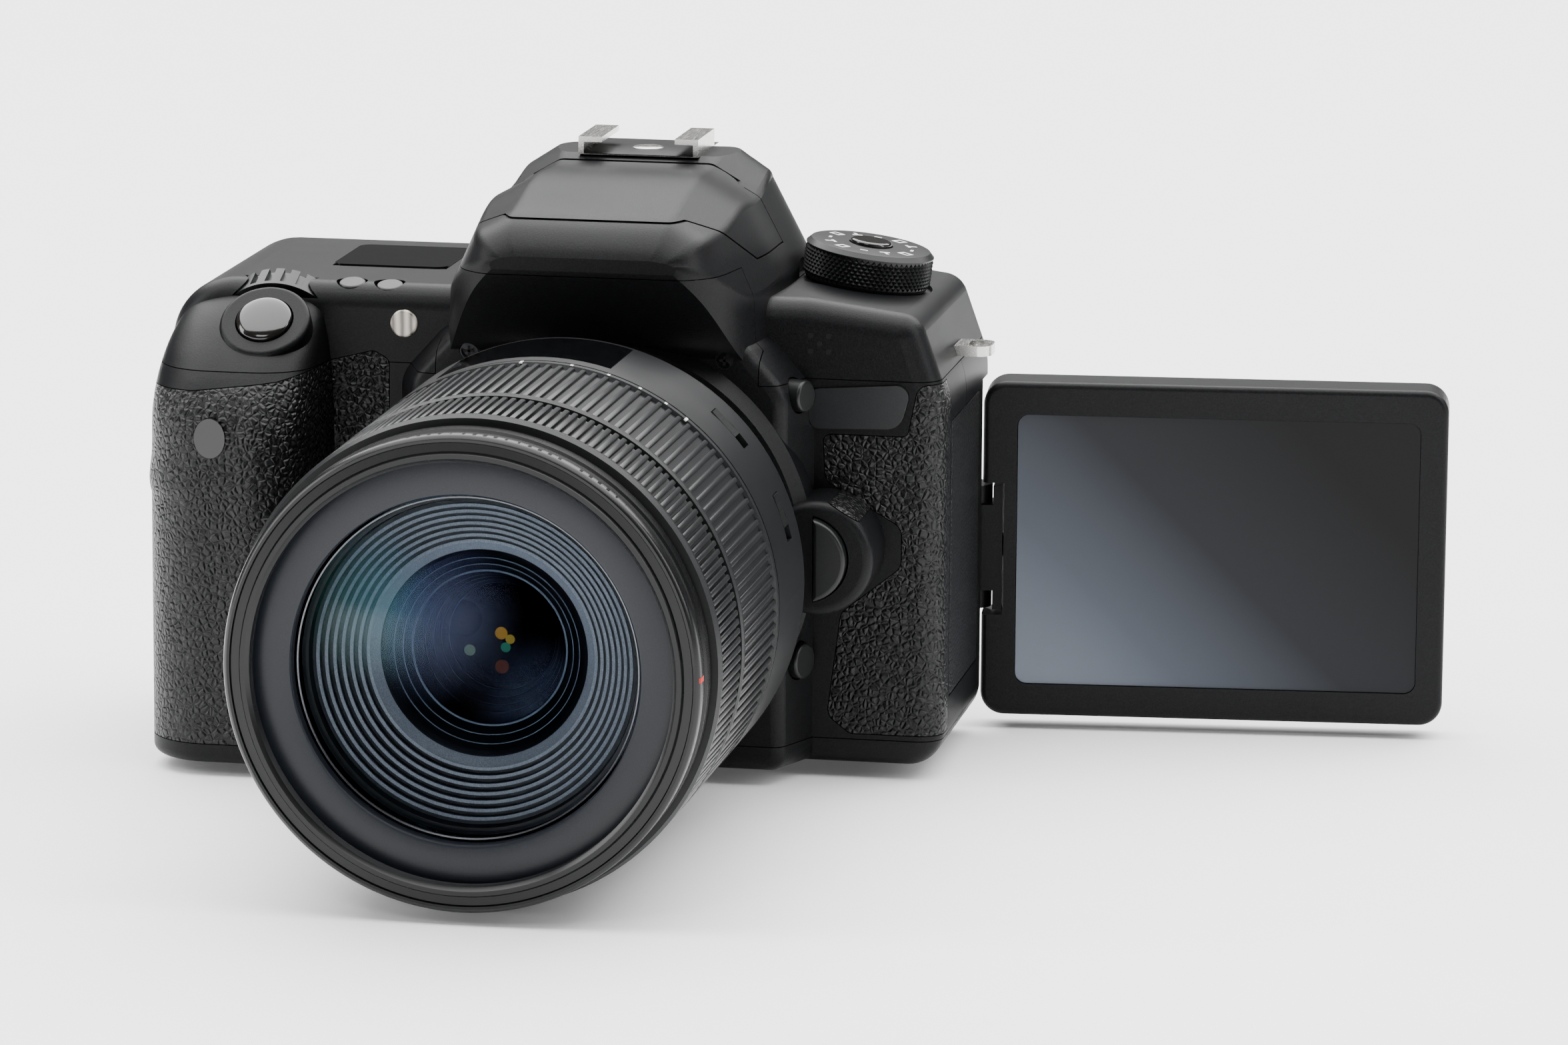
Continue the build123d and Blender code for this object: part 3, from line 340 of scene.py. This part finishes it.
# ---- Self-timer lamp -------------------------------------------------------------------------
# A frosted lamp window in front of a diffuser with upright ribs, warm grey.
frosted = blank("frosted_lamp_window")
place = add(frosted, "TexCoord").outputs["Object"]
bands = add(frosted, "TexWave", {"Vector": place, "Scale": 200.0, "Distortion": 1.5}, bands_direction="X")
lamp_colour = ramp(frosted, bands.outputs["Fac"], [(0.0, paint("#5c5650")), (0.55, paint("#b5ab9d")),
                                                   (1.0, paint("#d8cfc2"))])
add(frosted, "OutputMaterial", {"Surface": add(frosted, "BsdfPrincipled", {
    "Base Color": lamp_colour, "Roughness": 0.3, "Coat Weight": 0.6}).outputs["BSDF"]})
dress(frosted, "timer_lamp")

# ---- Lens mount, fixed barrel and switches ---------------------------------------------------
# The mount is turned stainless steel. The barrel is satin black moulding, tapering out from the
# mount, with a glossy label strip on top and two slide switches on its side.
mount_steel = brushed("turned_mount_steel", "#8f8f8c", "#c6c6c2", 0.3, (1, 1, 0.2))
barrel_satin = grained("satin_barrel_moulding", "#0c0d0e", "#17181a", 0.36, 0.22, 0.006)
dress(mount_steel, "mount_ring")
dress(barrel_satin, "fixed_barrel")
lens_z = 36.8
lens_place = Matrix.Translation((0, 0, lens_z * mm)) @ Matrix.Rotation(math.radians(90), 4, "X")


def about_axis(degrees):
    """Turn about the lens axis, from the top towards the screen side."""
    return Matrix.Rotation(-math.radians(degrees), 3, "Z")


def curved_patch(bm, radius, thick, y_back, y_front, angle_from, angle_to, steps=24):
    """Adds a thin plate bent round the lens axis; angles run from the top towards the screen side."""
    corners = [(radius - thick, -y_back), (radius, -y_back), (radius, -y_front), (radius - thick, -y_front)]
    verts = [bm.verts.new((0, r * mm, h * mm)) for r, h in corners]
    face = bm.faces.new(verts)
    bmesh.ops.rotate(bm, cent=(0, 0, 0), matrix=about_axis(angle_from), verts=verts)
    span = math.radians(angle_to - angle_from)
    bmesh.ops.spin(bm, geom=[face], cent=(0, 0, 0), axis=(0, 0, 1), dvec=(0, 0, 0), angle=-span, steps=steps)
    bmesh.ops.recalc_face_normals(bm, faces=bm.faces)


strip = bmesh.new()
curved_patch(strip, 38.63, 0.5, -62.0, -79.5, -27, 16)
bmesh.ops.transform(strip, matrix=lens_place, verts=strip.verts)
piece("label_strip", strip, "body", smoked)
dress(key_moulding, "focus_mode_switch", "stabiliser_switch")
ridge_pitch, ridge_width, first_ridge = 1.3, 0.7, -2.25
for label, angle, y, body in (("focus_switch_ridges", 46.5, -69.4, "focus_mode_slider"),
                              ("stabiliser_switch_ridges", 71.2, -69.0, "stabiliser_slider")):
    ridges = bmesh.new()
    for k in range(3):
        left = first_ridge + k * ridge_pitch
        bar(ridges, (left, -1.5, 37.3), (left + ridge_width, 1.5, 38.62), 0.12, 1)
    bmesh.ops.transform(ridges, matrix=Matrix.Rotation(math.radians(-90), 4, "X"), verts=ridges.verts)
    bmesh.ops.rotate(ridges, cent=(0, 0, 0), matrix=about_axis(angle), verts=ridges.verts)
    bmesh.ops.translate(ridges, vec=(0, 0, -y * mm), verts=ridges.verts)
    bmesh.ops.transform(ridges, matrix=lens_place, verts=ridges.verts)
    piece(label, ridges, body, key_moulding)

# ---- Zoom and focus rings --------------------------------------------------------------------
# Each ring is a moulded sleeve under a ribbed rubber grip: slim rounded ribs 1.9 mm apart run the
# length of the zoom ring, flat-topped bars 1.4 mm apart that of the focus ring.
ring_rubber = grained("ribbed_ring_rubber", "#121314", "#1e1f21", 0.36, 0.25, 0.006)
# The groove rubber is the ring rubber painted darker: painted shade on the sleeve between the ribs.
groove_painted_shade_rubber = grained("ring_groove_painted_shade", "#08090a", "#101112", 0.46, 0.25, 0.006)


def ribbed_ring(name, profile, ribs, groove, node, body):
    """A turned ring with rows of ribs: count, width, radii and y limits. Faces below the groove radius take
    the darker rubber, painted shade in the grooves.
    """
    bm = bmesh.new()
    lathe(bm, [(r, -y) for r, y in profile + profile[:1]], 192)
    for count, width, low, high, y_back, y_front in ribs:
        rib = bar(bm, (-width / 2, low, -y_back), (width / 2, high, -y_front), width * 0.28, 2)
        faces = list({face for vert in rib for face in vert.link_faces})
        step = 2 * math.pi / count
        bmesh.ops.spin(bm, geom=faces, cent=(0, 0, 0), axis=(0, 0, 1), dvec=(0, 0, 0),
                       angle=step * (count - 1), steps=count - 1, use_duplicate=True)
    for face in bm.faces:
        middle = face.calc_center_median()
        face.material_index = int(math.hypot(middle.x, middle.y) < groove * mm)
    bmesh.ops.transform(bm, matrix=lens_place, verts=bm.verts)
    made = piece(name, bm, body, ring_rubber, 30.0)
    made.data.materials.append(groove_painted_shade_rubber)
    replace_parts(made, node)


ribbed_ring("zoom_ring_grip",
            [(35.3, -82.95), (38.4, -82.95), (38.62, -83.3), (38.62, -84.6), (37.95, -84.9), (37.95, -111.0),
             (38.5, -111.4), (38.5, -112.1), (38.2, -112.6), (35.3, -112.6)],
            [(128, 0.85, 37.6, 38.5, -84.9, -111.6)], 37.6, "zoom_ring", "zoom")
ribbed_ring("focus_ring_grip",
            [(35.3, -113.3), (37.4, -113.3), (37.7, -113.8), (37.7, -128.6),
             (38.4, -128.9), (38.4, -129.4), (37.9, -130.2), (35.3, -130.3)],
            [(170, 0.9, 37.3, 38.42, -114.2, -128.6)], 37.85, "focus_ring", "focus")

# ---- Front barrel, name ring and glass -------------------------------------------------------
# The extending barrel ends in a rim with two thin lips, hood-bayonet tabs and a cut filter thread.
# Inside sits an anodised name ring, left plain, and the coated front glass over black steps.
rim_satin = grained("anodised_rim", "#060607", "#0d0e0f", 0.26, 0.2, 0.0008)
thread_pitch = 0.75
rim_profile = [(33.12, 136.6)]
for k in range(4):
    rim_profile += [(33.12, 136.95 + thread_pitch * k), (32.8, 137.2 + thread_pitch * k)]
rim_profile += [(33.12, 139.7), (33.4, 139.98), (34.1, 139.98), (34.3, 139.7), (34.45, 139.2), (35.7, 139.1),
                (35.9, 139.45), (36.3, 139.5), (36.75, 139.2), (36.98, 138.7), (36.98, 136.9), (36.6, 136.6),
                (36.6, 134.3), (36.98, 134.0), (36.98, 131.3), (36.5, 130.85), (34.15, 130.85), (34.15, 70.0),
                (31.95, 70.0), (31.95, 136.6)]
rim = bmesh.new()
lathe(rim, rim_profile + rim_profile[:1], 160)
bmesh.ops.transform(rim, matrix=lens_place, verts=rim.verts)
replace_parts(piece("extending_barrel", rim, "front_group", rim_satin), "front_barrel")
tabs = bmesh.new()
for centre in (11, 131, 251):
    curved_patch(tabs, 36.98, 1.9, -137.4, -138.7, centre - 32, centre + 32)
bmesh.ops.transform(tabs, matrix=lens_place, verts=tabs.verts)
piece("hood_tabs", tabs, "front_group", rim_satin)
pad_red = grained("pad_printed_red", "#a8231c", "#bf2a22", 0.4, 0.3, 0.001)
hood_index = bmesh.new()
curved_patch(hood_index, 37.02, 0.3, -137.0, -139.2, 88.0, 89.2, 2)
bmesh.ops.transform(hood_index, matrix=lens_place, verts=hood_index.verts)
piece("hood_index", hood_index, "front_group", pad_red)
mount_index = bmesh.new()
lathe(mount_index, [(0, 42.62), (1.2, 42.55), (1.3, 42.3), (1.3, 42.0), (0, 42.0)], 32)
bmesh.ops.translate(mount_index, vec=(34.4 * mm, 0, 0), verts=mount_index.verts)
bmesh.ops.transform(mount_index, matrix=lens_place, verts=mount_index.verts)
piece("mount_index", mount_index, "body", printed_white)
# The microphone holes are near-black discs in the shadow material: painted shade standing in for the holes.
microphone = bmesh.new()
for x, z in ((0, 0), (1.5, 1.3), (-1.5, 1.3), (1.5, -1.3), (-1.5, -1.3)):
    add_lathe(microphone, [(0, 31.02), (0.45, 31.02), (0.45, 30.6), (0, 30.6)], 16,
              Vector(((35.4 + x) * mm, (70.6 + z - lens_z) * mm, 0)))
bmesh.ops.transform(microphone, matrix=lens_place, verts=microphone.verts)
piece("microphone_holes", microphone, "body", cross_dark)
scale_marks = bmesh.new()
for angle, long in ((-4, 1.6), (8, 1.0), (17, 1.0), (25, 1.0), (32, 1.0), (38, 1.6)):
    curved_patch(scale_marks, 38.65, 0.2, -83.5, -83.5 - long, angle - 0.35, angle + 0.35, 2)
bmesh.ops.transform(scale_marks, matrix=lens_place, verts=scale_marks.verts)
piece("zoom_marks", scale_marks, "zoom", printed_white)

anodised = grained("anodised_name_ring", "#12151a", "#1b1e25", 0.34, 0.15, 0.002)
name_face = bmesh.new()
lathe(name_face, [(27.1, 136.0), (27.3, 136.3), (27.7, 136.4), (32.9, 136.66), (33.05, 136.6),
                  (33.05, 136.45), (32.0, 136.4), (27.1, 134.0), (27.1, 136.0)], 128)
bmesh.ops.transform(name_face, matrix=lens_place, verts=name_face.verts)
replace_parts(piece("name_ring_face", name_face, "front_group", anodised), "name_ring")
# Two thin light metal rings at the outer and inner edges of the name ring, lighter than the black round them:
# painted highlight on the lips there.
retainer = bmesh.new()
add_lathe(retainer, [(33.0, 136.8), (33.1, 136.8), (33.1, 136.6), (33.0, 136.6)], 128)
add_lathe(retainer, [(26.4, 134.2), (26.62, 134.3), (26.62, 134.0), (26.4, 133.9)], 128)
bmesh.ops.transform(retainer, matrix=lens_place, verts=retainer.verts)
lip_highlight_metal = grained("lip_painted_highlight_metal", "#4a4c50", "#6c6f73", 0.3, 0.1, 0.002, Metallic=0.9)
piece("retaining_ring_and_lip_highlight", retainer, "front_group", lip_highlight_metal)


def glass_with_painted_reflection(name, painted_reflection_spot, painted_reflection_mm, colours, painted_reflection_share):
    """Clear glass with its coatings' coloured reflection painted in: a coloured gloss, graded across the
    glass and mixed in around one spot of its surface.
    """
    material = blank(name)
    place = add(material, "TexCoord").outputs["Object"]
    away = add(material, "VectorMath", {0: place, 1: [c * mm for c in painted_reflection_spot]}, operation="DISTANCE")
    near = add(material, "MapRange", {"Value": away.outputs["Value"], "From Min": 0.0,
                                      "From Max": painted_reflection_mm * mm, "To Min": 1.0, "To Max": 0.0},
               interpolation_type="SMOOTHSTEP")
    apart = add(material, "SeparateXYZ", {"Vector": place})
    across = add(material, "MapRange", {"Value": apart.outputs["X"], "From Min": -0.024, "From Max": 0.012})
    colour = ramp(material, across.outputs["Result"], colours)
    painted_reflection_bsdf = add(material, "BsdfPrincipled", {"Base Color": colour, "Roughness": 0.06, "IOR": 1.6})
    see = add(material, "BsdfTransparent", {"Color": paint("#eef2f6")})
    facing = add(material, "LayerWeight", {"Blend": 0.5})
    edge = add(material, "Math", {0: facing.outputs["Facing"], 1: 3.0}, operation="POWER")
    share = add(material, "Math", {0: near.outputs["Result"], 1: painted_reflection_share, 2: edge.outputs["Value"]},
                operation="MULTIPLY_ADD", use_clamp=True)
    both = add(material, "MixShader", {"Fac": share.outputs["Value"], 1: see.outputs["BSDF"],
                                       2: painted_reflection_bsdf.outputs["BSDF"]})
    add(material, "OutputMaterial", {"Surface": both.outputs["Shader"]})
    return material


# The front glass's colour is a painted reflection of its coatings: teal on the left through blue-grey and
# violet to navy on the right, strongest around a spot at the upper left.
front_painted_reflection = glass_with_painted_reflection("front_glass_painted_coating_reflection", (-16.0, -134.0, lens_z + 9.5), 14.0, [
    (0.0, paint("#0c4a44")), (0.35, paint("#40707f")), (0.62, paint("#4a5382")),
    (1.0, paint("#24284e"))], 0.22)
meniscus = bmesh.new()
bow = [t / 10 for t in range(11)]
lathe(meniscus, [(26.55 * t, 136.3 - 4.6 * t * t) for t in bow]
      + [(25.9 * t, 135.0 - 4.2 * t * t) for t in reversed(bow)], 128)
bmesh.ops.transform(meniscus, matrix=lens_place, verts=meniscus.verts)
front_glass = piece("front_glass", meniscus, "front_group", front_painted_reflection, 70.0)
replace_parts(front_glass, "front_element")

# Behind the glass: steps whose turned edges and a cone are light grey, painted highlight on a black baffle,
# then a black funnel to the iris.
flocked = grained("flocked_baffle_black", "#060708", "#0d0e11", 0.42, 0.1, 0.004)
dress(flocked, "mirror_box", "shutter_unit")
painted_highlight_grey = grained("baffle_edge_painted_highlight", "#63666b", "#85888e", 0.3, 0.15, 0.002)
step_count, step_in, step_down = 7, 1.1, 0.9
baffle_profile = [(26.6, 131.0), (26.6, 109.0), (0, 109.0), (0, 109.6), (8.6, 109.8), (12.2, 118.8),
                  (16.3, 122.6)]
ridges = bmesh.new()
for k in range(step_count):
    radius, height = 17.6 + step_in * k, 124.2 + step_down * k
    baffle_profile += [(radius, height), (radius + step_in, height)]
    add_lathe(ridges, [(radius, height - 0.1), (radius + 0.5, height - 0.1), (radius + 0.5, height + 0.2),
                       (radius, height + 0.2)])
baffle_profile += [(25.6, 131.0)]
add_lathe(ridges, [(17.6, 124.25), (17.9, 124.0), (16.4, 122.5), (16.25, 122.9)])
funnel = bmesh.new()
lathe(funnel, baffle_profile + baffle_profile[:1], 128)
bmesh.ops.transform(funnel, matrix=lens_place, verts=funnel.verts)
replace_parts(piece("stepped_funnel", funnel, "front_group", flocked), "lens_baffle")
# Thin light rings down the funnel wall: painted highlight.
for radius, height, wide in ((14.6, 121.1, 0.06), (13.4, 120.0, 0.06), (12.15, 118.9, 0.14),
                             (10.9, 115.6, 0.05), (10.1, 113.6, 0.05), (9.3, 111.7, 0.05),
                             (8.5, 110.0, 0.07)):
    add_lathe(ridges, [(radius - wide, height), (radius + wide, height), (radius + wide, height + 0.2),
                       (radius - wide, height + 0.2)])
bmesh.ops.transform(ridges, matrix=lens_place, verts=ridges.verts)
piece("baffle_ridges", ridges, "front_group", painted_highlight_grey)


def element(name, radius, crown, rise, thick, material, steps=96):
    """One lens element: a shallow dome with a flat back."""
    bm = bmesh.new()
    lathe(bm, [(radius * t, crown - rise * t * t) for t in bow] + [(radius, crown - rise - thick),
                                                                  (0, crown - rise - thick)], steps)
    bmesh.ops.transform(bm, matrix=lens_place, verts=bm.verts)
    return piece(name, bm, "front_group", material, 60.0)


# The second and third elements carry painted coating reflections, violet-blue and navy, each strongest around
# one spot.
violet_painted_reflection = glass_with_painted_reflection("violet_painted_coating_reflection", (-9.0, -122.0, lens_z + 6.0), 16.0, [
    (0.0, paint("#3a4a72")), (0.5, paint("#474a74")), (1.0, paint("#1d1f44"))], 0.26)
element("second_element", 16.2, 123.4, 1.0, 0.5, violet_painted_reflection)
navy_painted_reflection = glass_with_painted_reflection("navy_painted_coating_reflection", (7.0, -118.0, lens_z - 8.0), 12.0, [
    (0.0, paint("#171939")), (1.0, paint("#22264f"))], 0.3)
element("third_element", 12.0, 119.6, 0.9, 0.4, navy_painted_reflection)
# The iris element is painted amber-brown around one spot, fading to near black: a painted reflection of its
# coating.
iris_glass = blank("iris_glass_painted_amber_reflection")
place = add(iris_glass, "TexCoord").outputs["Object"]
spot = [c * mm for c in (-6.0, -110.5, lens_z + 2.6)]
away = add(iris_glass, "VectorMath", {0: place, 1: spot}, operation="DISTANCE")
share = add(iris_glass, "MapRange", {"Value": away.outputs["Value"], "From Max": 9.0 * mm})
painted_amber_reflection = ramp(iris_glass, share.outputs["Result"], [(0.0, paint("#6a4630")), (0.35, paint("#241a1c")),
                                                  (1.0, paint("#0a0910"))])
add(iris_glass, "OutputMaterial", {"Surface": add(iris_glass, "BsdfPrincipled", {
    "Base Color": painted_amber_reflection, "Roughness": 0.12, "Coat Weight": 0.3}).outputs["BSDF"]})
element("iris_element", 8.4, 110.9, 0.8, 0.3, iris_glass)
# Five small flattened discs in bright coating colours, glowing by emission, on the iris element: painted
# glints standing in for reflections inside the lens.
for name, x, z, radius, tone in (("amber_painted_glint_a", 0.0, 0.6, 1.0, "#e8a52a"),
                                 ("amber_painted_glint_b", 1.4, -0.3, 0.75, "#d8b040"),
                                 ("green_painted_glint", 0.7, -1.6, 0.8, "#3f9a74"),
                                 ("pale_painted_glint", -5.0, -2.3, 0.9, "#8d9f7a"),
                                 ("red_brown_painted_glint", 0.1, -4.7, 1.1, "#7a3a20")):
    glint = bmesh.new()
    bmesh.ops.create_uvsphere(glint, u_segments=24, v_segments=12, radius=radius * mm)
    bmesh.ops.scale(glint, vec=(1, 1, 0.25), verts=glint.verts)
    bmesh.ops.translate(glint, vec=(x * mm, z * mm, 110.85 * mm), verts=glint.verts)
    bmesh.ops.transform(glint, matrix=lens_place, verts=glint.verts)
    glint_paint = grained(name + "_glass", tone, tone, 0.2, 0.6, 0.001,
                     **{"Coat Weight": 0.5, "Emission Color": paint(tone), "Emission Strength": 0.6})
    piece(name, glint, "front_group", glint_paint, 60.0)
# The rear glass, pentamirror and eyepiece carry a painted coating reflection too, mauve through blue,
# strongest around one spot.
clear_inner = glass_with_painted_reflection("rear_glass_painted_coating_reflection", (-6.0, -84.0, lens_z + 6.0), 20.0, [
    (0.0, paint("#4a3a5a")), (0.5, paint("#2f3e6e")), (1.0, paint("#39557a"))], 0.5)
dress(clear_inner, "inner_lens", "pentamirror", "eyepiece_lens")

# ---- Mirror, sensor, battery and socket ------------------------------------------------------
# The pieces inside the body and in its base: silvered mirror, filter glass over the sensor, the
# battery's moulded shell and the machined tripod socket.
mirror_silver = brushed("front_silvered_mirror", "#cfd2d4", "#e2e4e6", 0.08, (1, 1, 1), 2.0)
sensor_glass = grained("sensor_filter_glass", "#1e4a46", "#2a625a", 0.08, 1.5, 0.001)
battery_shell = grained("battery_shell", "#2a2b2c", "#3a3b3c", 0.5, 0.3, 0.01)
machined = brushed("machined_socket_alloy", "#9b9d9e", "#c2c4c5", 0.32, (1, 1, 0.1))
dress(mirror_silver, "main_mirror")
dress(sensor_glass, "image_sensor")
dress(battery_shell, "battery_pack")
dress(machined, "tripod_socket")

# ---- Swing-out screen ------------------------------------------------------------------------
# A moulded housing on a two-way hinge, its touch glass bonded in a shallow recess. Switched off,
# the glass is a dark mirror; its colour is a painted reflection, light blue-grey towards the lower left and
# near black towards the upper right.
dress(polycarbonate, "screen_arm", "screen_housing")
panel = blank("touch_screen_glass")
place = add(panel, "TexCoord").outputs["Object"]
where = add(panel, "SeparateXYZ", {"Vector": place})
slope = add(panel, "Math", {0: where.outputs["X"], 1: where.outputs["Z"]}, operation="ADD")
share = add(panel, "MapRange", {"Value": slope.outputs["Value"], "From Min": 0.07, "From Max": 0.16})
dust = add(panel, "TexNoise", {"Vector": place, "Scale": 40.0, "Detail": 2.0})
# Painted reflection: light where x + z is low, near black where it is high.
painted_screen_reflection = ramp(panel, share.outputs["Result"], [(0.0, paint("#747b86")), (0.3, paint("#4a4f58")),
                                             (0.6, paint("#1c1e22")), (1.0, paint("#020203"))])
sheen = add(panel, "MapRange", {"Value": dust.outputs["Fac"], "To Min": 0.1, "To Max": 0.16})
add(panel, "OutputMaterial", {"Surface": add(panel, "BsdfPrincipled", {
    "Base Color": painted_screen_reflection, "Roughness": sheen.outputs["Result"], "Specular IOR Level": 0.12}).outputs["BSDF"]})
dress(panel, "screen_glass")

# ---- Studio ----------------------------------------------------------------------------------
# A pale sweep under large soft lamps, and the camera at its viewing angle.
floor = bmesh.new()
bmesh.ops.create_grid(floor, x_segments=1, y_segments=1, size=6.0)
bmesh.ops.translate(floor, vec=(0, 0, -2.2 * mm), verts=floor.verts)
floor_mesh = bpy.data.meshes.new("floor")
floor.to_mesh(floor_mesh)
floor.free()
pale = grained("matt_pale_floor", "#fafafa", "#fcfcfc", 0.9, 20.0, 0.01,
               **{"Emission Color": paint("#ffffff"), "Emission Strength": 0.08})
floor_mesh.materials.append(pale)
floor_object = bpy.data.objects.new("floor", floor_mesh)
bpy.context.scene.collection.objects.link(floor_object)

world = bpy.data.worlds.new("studio")
world.use_nodes = True
world.node_tree.nodes["Background"].inputs["Color"].default_value = (1, 1, 1, 1)
world.node_tree.nodes["Background"].inputs["Strength"].default_value = 0.12
bpy.context.scene.world = world


def softbox(name, spot, target, width, height, power):
    lamp = bpy.data.lights.new(name, "AREA")
    lamp.shape = "RECTANGLE"
    lamp.size, lamp.size_y, lamp.energy = width, height, power
    made = bpy.data.objects.new(name, lamp)
    bpy.context.scene.collection.objects.link(made)
    made.location = spot
    made.rotation_euler = (Vector(target) - Vector(spot)).to_track_quat("-Z", "Y").to_euler()


heart = (0.0, -0.04, 0.05)
softbox("top_softbox", (0.0, 0.8, 2.2), (0.0, 0.2, 0.0), 4.5, 4.5, 420)
softbox("left_softbox", (-1.1, -0.35, 0.5), heart, 0.35, 0.9, 9)
softbox("right_softbox", (1.25, -0.2, 0.7), heart, 0.35, 0.9, 9)
softbox("front_softbox", (-0.35, -1.5, 1.3), heart, 0.7, 0.35, 7)

camera_data = bpy.data.cameras.new("camera")
camera_data.sensor_width = 36.0
camera_data.lens = 166.08
camera_data.clip_start = 0.01
camera = bpy.data.objects.new("camera", camera_data)
bpy.context.scene.collection.objects.link(camera)
yaw, pitch, roll = (math.radians(a) for a in (10.3555, -11.2738, 0.4044))
camera.matrix_world = (Matrix.Translation((0.23944, -1.17871, 0.27315)) @ Matrix.Rotation(yaw, 4, "Z")
                       @ Matrix.Rotation(math.radians(90) + pitch, 4, "X") @ Matrix.Rotation(roll, 4, "Z"))
bpy.context.scene.camera = camera
